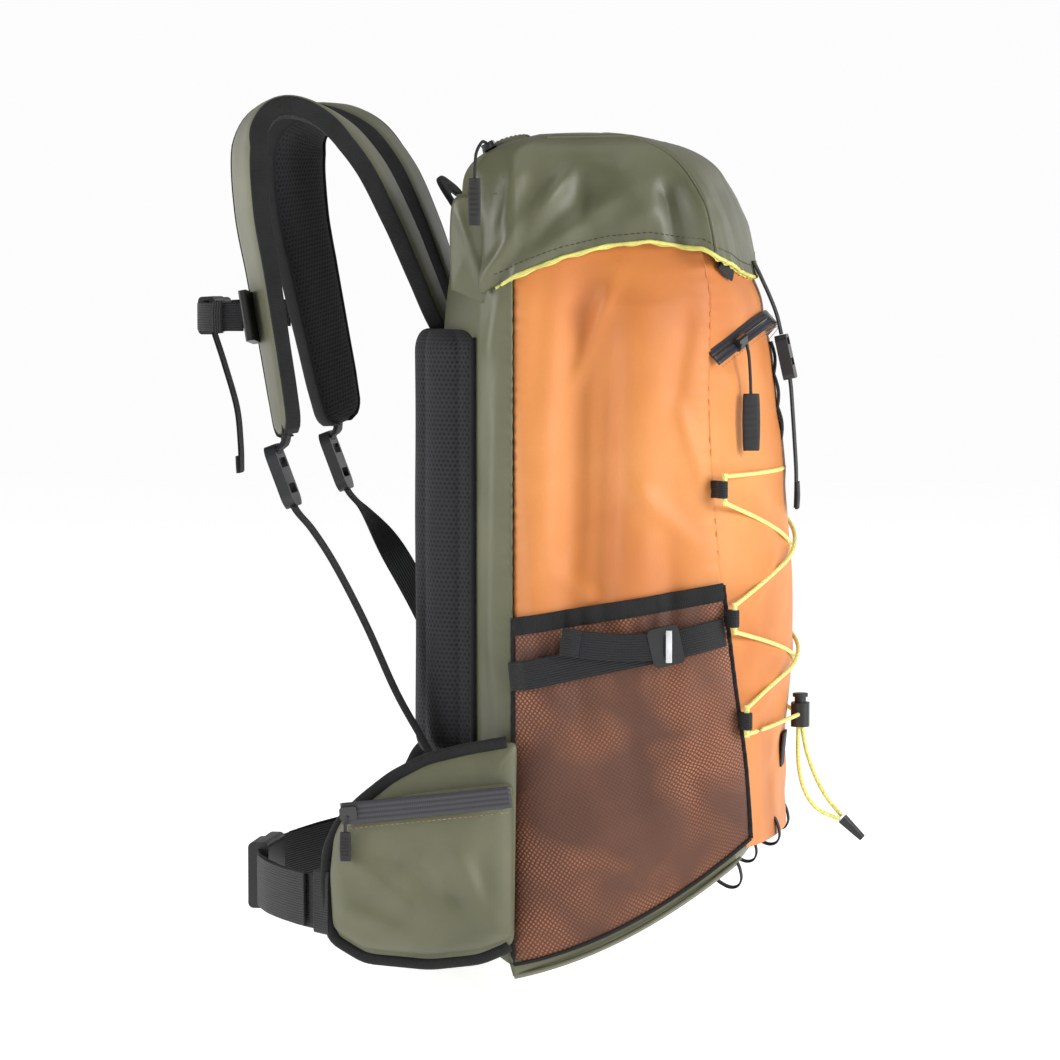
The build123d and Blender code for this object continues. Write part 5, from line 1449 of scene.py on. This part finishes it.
WING_FOLDS = [(-108, -194, -62, -234, 8, 3.4), (-88, -188, -34, -222, 8, -3.0),
              (-40, -186, -14, -242, 8, 3.6), (-118, -226, -72, -246, 7, 2.8),
              (-66, -190, -50, -212, 6, 2.2), (-22, -190, -18, -240, 7, -2.2)]
for hand, side, rise in WINGS:
    body = f"hip_{side}"
    joint = (0.086, hand * 0.155, -0.2), (0.056, hand * 0.157, -0.2)
    outline = closed_outline(np.array(WING, float))
    outer = cushion_face(outline, (6.5, 13.0), hand, rise, crown=6.0, seed=4)
    inner = cushion_face(outline, (5.5, 0.4), hand, rise, crown=5.0, seed=5)[::-1]
    grid = np.concatenate([outer, inner])
    slots = np.zeros((len(grid) - 1, grid.shape[1]), int)
    slots[len(outer):] = 1
    wing = surface(f"wing_pad_{side}", grid if hand > 0 else grid[:, ::-1], wrap=True,
                   faces_slot=slots)
    dressed(wing, body, [green, spacer], [f"hip_wing_{side}"],
            across=joint)
    rim = on_wing(outline[:, 0], outline[:, 1], np.full(len(outline), 6.0), hand, rise)
    root_end = int(np.argmin(np.hypot(*(outline - np.array(WING[-1])).T)))
    rim = rim[2:root_end]
    face_out = np.diff(on_wing(np.zeros(2), np.zeros(2), np.array([0.0, 1.0]), hand, 0.0),
                       axis=0)[0]
    edge = sweep(f"wing_binding_{side}", rim, slab(9.0, 9.0, 2.6, 16), face_out)
    dressed(edge, body, binding, across=joint)
    pocket_line = closed_outline(np.array(POCKET, float))
    face = cushion_face(pocket_line, (12.6, 25.5), hand, rise, crown=4.5, folds=WING_FOLDS,
                        seed=6)
    pocket = thick(surface(f"wing_pocket_{side}", face if hand > 0 else face[:, ::-1],
                           wrap=True), 1.2)
    dressed(pocket, body, green, [f"hip_pocket_{side}"], across=joint)
    along = np.linspace(-117, -1, 60)
    height = -161.8 + (along + 116) * 12.5 / 116
    out = 23.2 + 2.0 * np.sin(math.pi * (along + 117) / 116)
    tape = sweep(f"wing_zip_band_{side}", on_wing(along, height, out, hand, rise),
                 slab(15, 1.8, 8.0), (0, 0, 1))
    dressed(tape, body, zip_tape, [f"hip_zip_tape_{side}"], across=joint)
    thread = stitches(f"wing_zip_stitches_{side}",
                      on_wing(along, height - 10.5, out + 0.9, hand, rise),
                      (0.09, hand * 1.0, 0), 3.6, 2.4, 0.35)
    dressed(thread, body, thread_tan, across=joint)
    print(side, "wing made")

# %% Pull tabs of the wing pockets
for hand, side, rise in WINGS:
    top, knee, drop, foot = on_wing(np.array([-112.0, -114, -114, -114]),
                                    np.array([-163.0, -168, -174, -194]),
                                    np.array([28.6, 28.2, 26.4, 26.4]), hand, rise)
    pull_tab(f"wing_pull_{side}", [top, knee, drop], drop, foot, 8.0, f"hip_pull_{side}",
             f"hip_zip_pull_{side}")

# %% [markdown]
# ## Hip belt webbing
# From the tip of each wing a broad webbing runs round the front of the waist to the buckle, and
# doubles back as a loop.

# %% Hip webbing
HIP_Z = -228.0
HIP_BAND = [(-48.4, -160), (-60, -149), (-79, -124), (-98, -92), (-114, -58), (-120.5, -34)]
for hand, side, rise in WINGS:
    last = len(HIP_BAND) - 1
    route = [(x, -hand * y, HIP_Z + (2 + 120 * rise) * (1 - i / last) ** 2)
             for i, (x, y) in enumerate(HIP_BAND)]
    main = band("main", route, 38, 1.7, (0, 0, 1), 90, 8.0)
    shift = np.array([-4.0, -hand * -1.5, 1.0])
    back_over = [np.array(route[k]) + shift * (0.4 + 0.5 * (k < 4)) for k in (1, 2, 3, 4)]
    double = band("double", back_over, 37, 1.7, (0, 0, 1), 60, 8.0)
    cuff = band("cuff", [np.array(route[0]) + np.array([6, -hand * -6, 0]), route[0],
                         np.array(route[0]) + np.array([-7, hand * -7, 0])], 44, 5.0,
                (0, 0, 1), 20, 6.0)
    whole = joined(f"hip_web_{side}", [main, double, cuff])
    dressed(whole, f"hip_{side}", webbing, [f"hip_webbing_{side}"])

# %% [markdown]
# ## Sternum strap
# A narrow webbing joins the two shoulder straps through a small buckle. On the left its spare
# end hangs down in a long tail with a folded hem.

# %% Sternum webbing
STERNUM_Z = 176.0
NEAR_BAND = [(-119, -85), (-136, -84), (-149, -76), (-156, -64), (-156, -50), (-156, -28)]
near = band("near", [(x, y, STERNUM_Z) for x, y in NEAR_BAND], 20, 1.7, (0, 0, 1), 70)
far = band("far", [(x, -y, STERNUM_Z) for x, y in NEAR_BAND[:5]], 20, 1.7, (0, 0, 1), 60)
tail = band("tail", [(-141, -80, 165), (-133.5, -80, 142), (-125, -80, 112), (-122.4, -80, 86),
                     (-122, -80, 67)], 16, 1.6, (0, 1, 0), 70)
end = band("end", [(-123.6, -80, 78), (-123.4, -80, 72), (-123, -80, 66)], 16.4, 2.6, (0, 1, 0),
           14)
keeper = band("keeper", [(-137, -86.5, 187.5), (-137.5, -86.8, 176), (-137, -86.5, 164.5)], 7,
              2.0, (1, 0, 0), 24)
dressed(joined("sternum_web", [near, far, tail, end, keeper]), "sternum", webbing,
        ["sternum_webbing"])

# %% [markdown]
# ## Gear loops
# Six short webbings fold round the lace and go into the front seams. Four more arch off the foot
# of the pack. Both are one line in a plane: out, a half turn or an arch, and back.

# %% Lacing loops and base loops
LOOP_OUT, LOOP_ACROSS = np.array([0.72, -0.69, 0]), np.array([0.69, 0.72, 0])
EYE_OUT, EYE_TURN = 9.5, 2.9
BASE_LOOPS = ((250, -40, -190), (225, -62, -218))
BASE_OUT, BASE_ALONG = np.array([0.6, 0, -0.8]), np.array([0.8, 0, 0.6])
half_turn = np.linspace(-math.pi / 2, math.pi / 2, 9)
fold = [(-2, -1.0), (4, -1.2)] + [(EYE_OUT + EYE_TURN * math.cos(a), EYE_TURN * math.sin(a))
                                  for a in half_turn] + [(4, 1.2), (-2, 1.0)]
arch = [(-10, -9), (-8.5, -2), (-5, 4.5), (0, 7), (5, 4.5), (8.5, -2), (10, -9)]
loops = []
for hand in (-1, 1):
    mirror = np.array([1, -hand, 1])
    for z in LACE_ROWS:
        corner_x = bag_at(np.array([z]))[0, FRONT_SEAM]
        corner = np.array([corner_x, -side_y(corner_x), z])
        route = [(corner + out * LOOP_OUT + off * LOOP_ACROSS) * mirror for out, off in fold]
        loops.append(band("lacing_loop", route, 12, 1.3, (0, 0, 1), 60))
    for middle in BASE_LOOPS:
        route = [(np.array(middle) + way * BASE_ALONG + out * BASE_OUT) * mirror
                 for way, out in arch]
        loops.append(band("base_loop", route, 9, 1.5, (0, 1, 0), 50))
dressed(joined("gear_loop_webbing", loops), "root", webbing, ["gear_loops"])

# %% Loose cord ends on the lock
for name, route in TAIL_ROUTES.items():
    dressed(tails[name], "root", shock_cord, [name])

# %% [markdown]
# ## Hardware from the frame
# Buckles, sliders, locks and ladder locks already have their real shape in the frame, so they
# stay, and get their moulded or lacquered finish. A small Bevel softens their edges, as a
# moulding's edges are.

# %% Finishes on the frame's own parts
KEPT = {
    "lid_zip_slider": lacquer, "front_zip_slider": lacquer, "hip_zip_slider_left": lacquer,
    "hip_zip_slider_right": lacquer, "front_strap_buckle": acetal, "cord_lock_body": acetal,
    "cord_lock_button": acetal, "cord_end": acetal, "strap_ladderlocks": acetal,
    "sternum_clips": acetal, "sternum_buckle_female": acetal, "sternum_buckle_male": acetal,
    "hip_buckle_female": acetal, "hip_buckle_male": acetal, "compression_ladderlocks": acetal,
    "frame_sheet": sheet_white, "frame_stays": alloy, "hydration_sleeve": green,
    "lid_lining": grey_lining, "lace_cord": shock_cord,
}
shown = {name for name, node in NODES.items() if not node.hide_render}
for name, material in KEPT.items():
    if name in shown:
        node = NODES[name]
        node.data.materials.clear()
        node.data.materials.append(material)
        if material in (acetal, lacquer):
            edge = node.modifiers.new("soft edge", "BEVEL")
            edge.width = 0.7 * MM
            edge.segments = 2
            edge.limit_method = "ANGLE"
            edge.angle_limit = math.radians(35)
print("kept", sorted(shown & set(KEPT)))
print("bare", sorted(shown - set(KEPT)))

# %% [markdown]
# ## Studio
# A plain pale floor just below the held pack, a world that is white near the horizon and dimmer
# overhead, and three soft lights: a broad one on each side of the view and a weak one from above,
# which give the coated cloth long, quiet highlights. The floor glows a little, to be as white as
# the horizon behind it.

# %% Floor, world and lights
floor_mesh = bpy.data.meshes.new("floor")
FLOOR_HALF, floor_z = 6, cad_box[0][2] - 0.012
floor_mesh.from_pydata([(FLOOR_HALF * x, FLOOR_HALF * y, floor_z)
                        for x, y in ((-1, -1), (1, -1), (1, 1), (-1, 1))], [], [(0, 1, 2, 3)])
floor = placed("floor", floor_mesh)
pale = Finish("floor_pale", roughness=0.9)
pale.colour(pale.ramp(pale.noise(2.0), (0.0, (0.86, 0.86, 0.86)), (1.0, (0.90, 0.90, 0.90))))
pale.shader.inputs["Emission Color"].default_value = (1.0, 1.0, 1.0, 1.0)
pale.shader.inputs["Emission Strength"].default_value = 0.8
floor.data.materials.append(pale.material)

world = bpy.data.worlds.new("studio")
world.use_nodes = True
sky = world.node_tree.nodes
way = sky.new("ShaderNodeTexCoord")
height = sky.new("ShaderNodeSeparateXYZ")
fade = sky.new("ShaderNodeMapRange")
fade.inputs["From Min"].default_value = 0.07
fade.inputs["From Max"].default_value = 0.32
fade.inputs["To Min"].default_value = 0.98
fade.inputs["To Max"].default_value = 0.14
world.node_tree.links.new(way.outputs["Generated"], height.inputs[0])
world.node_tree.links.new(height.outputs[2], fade.inputs["Value"])
world.node_tree.links.new(fade.outputs[0], sky["Background"].inputs[1])
sky["Background"].inputs[0].default_value = (1.0, 1.0, 1.0, 1.0)
bpy.context.scene.world = world
bpy.context.scene.view_settings.view_transform = "Standard"


def softbox(name, place, size, power):
    """A square area light that faces the middle of the pack."""
    data = bpy.data.lights.new(name, "AREA")
    data.size = size
    data.energy = power
    light = placed(name, data)
    place = np.array(place, float)
    back = place / np.linalg.norm(place)
    light.location = place
    light.rotation_euler = (math.acos(back[2]), 0, math.atan2(back[1], back[0]) + math.pi / 2)


softbox("softbox_front", (2.3, -0.9, 0.7), 1.0, 44)
softbox("softbox_back", (-2.3, -0.9, 0.7), 1.0, 30)
softbox("softbox_top", (0.2, -0.6, 2.3), 1.2, 12)
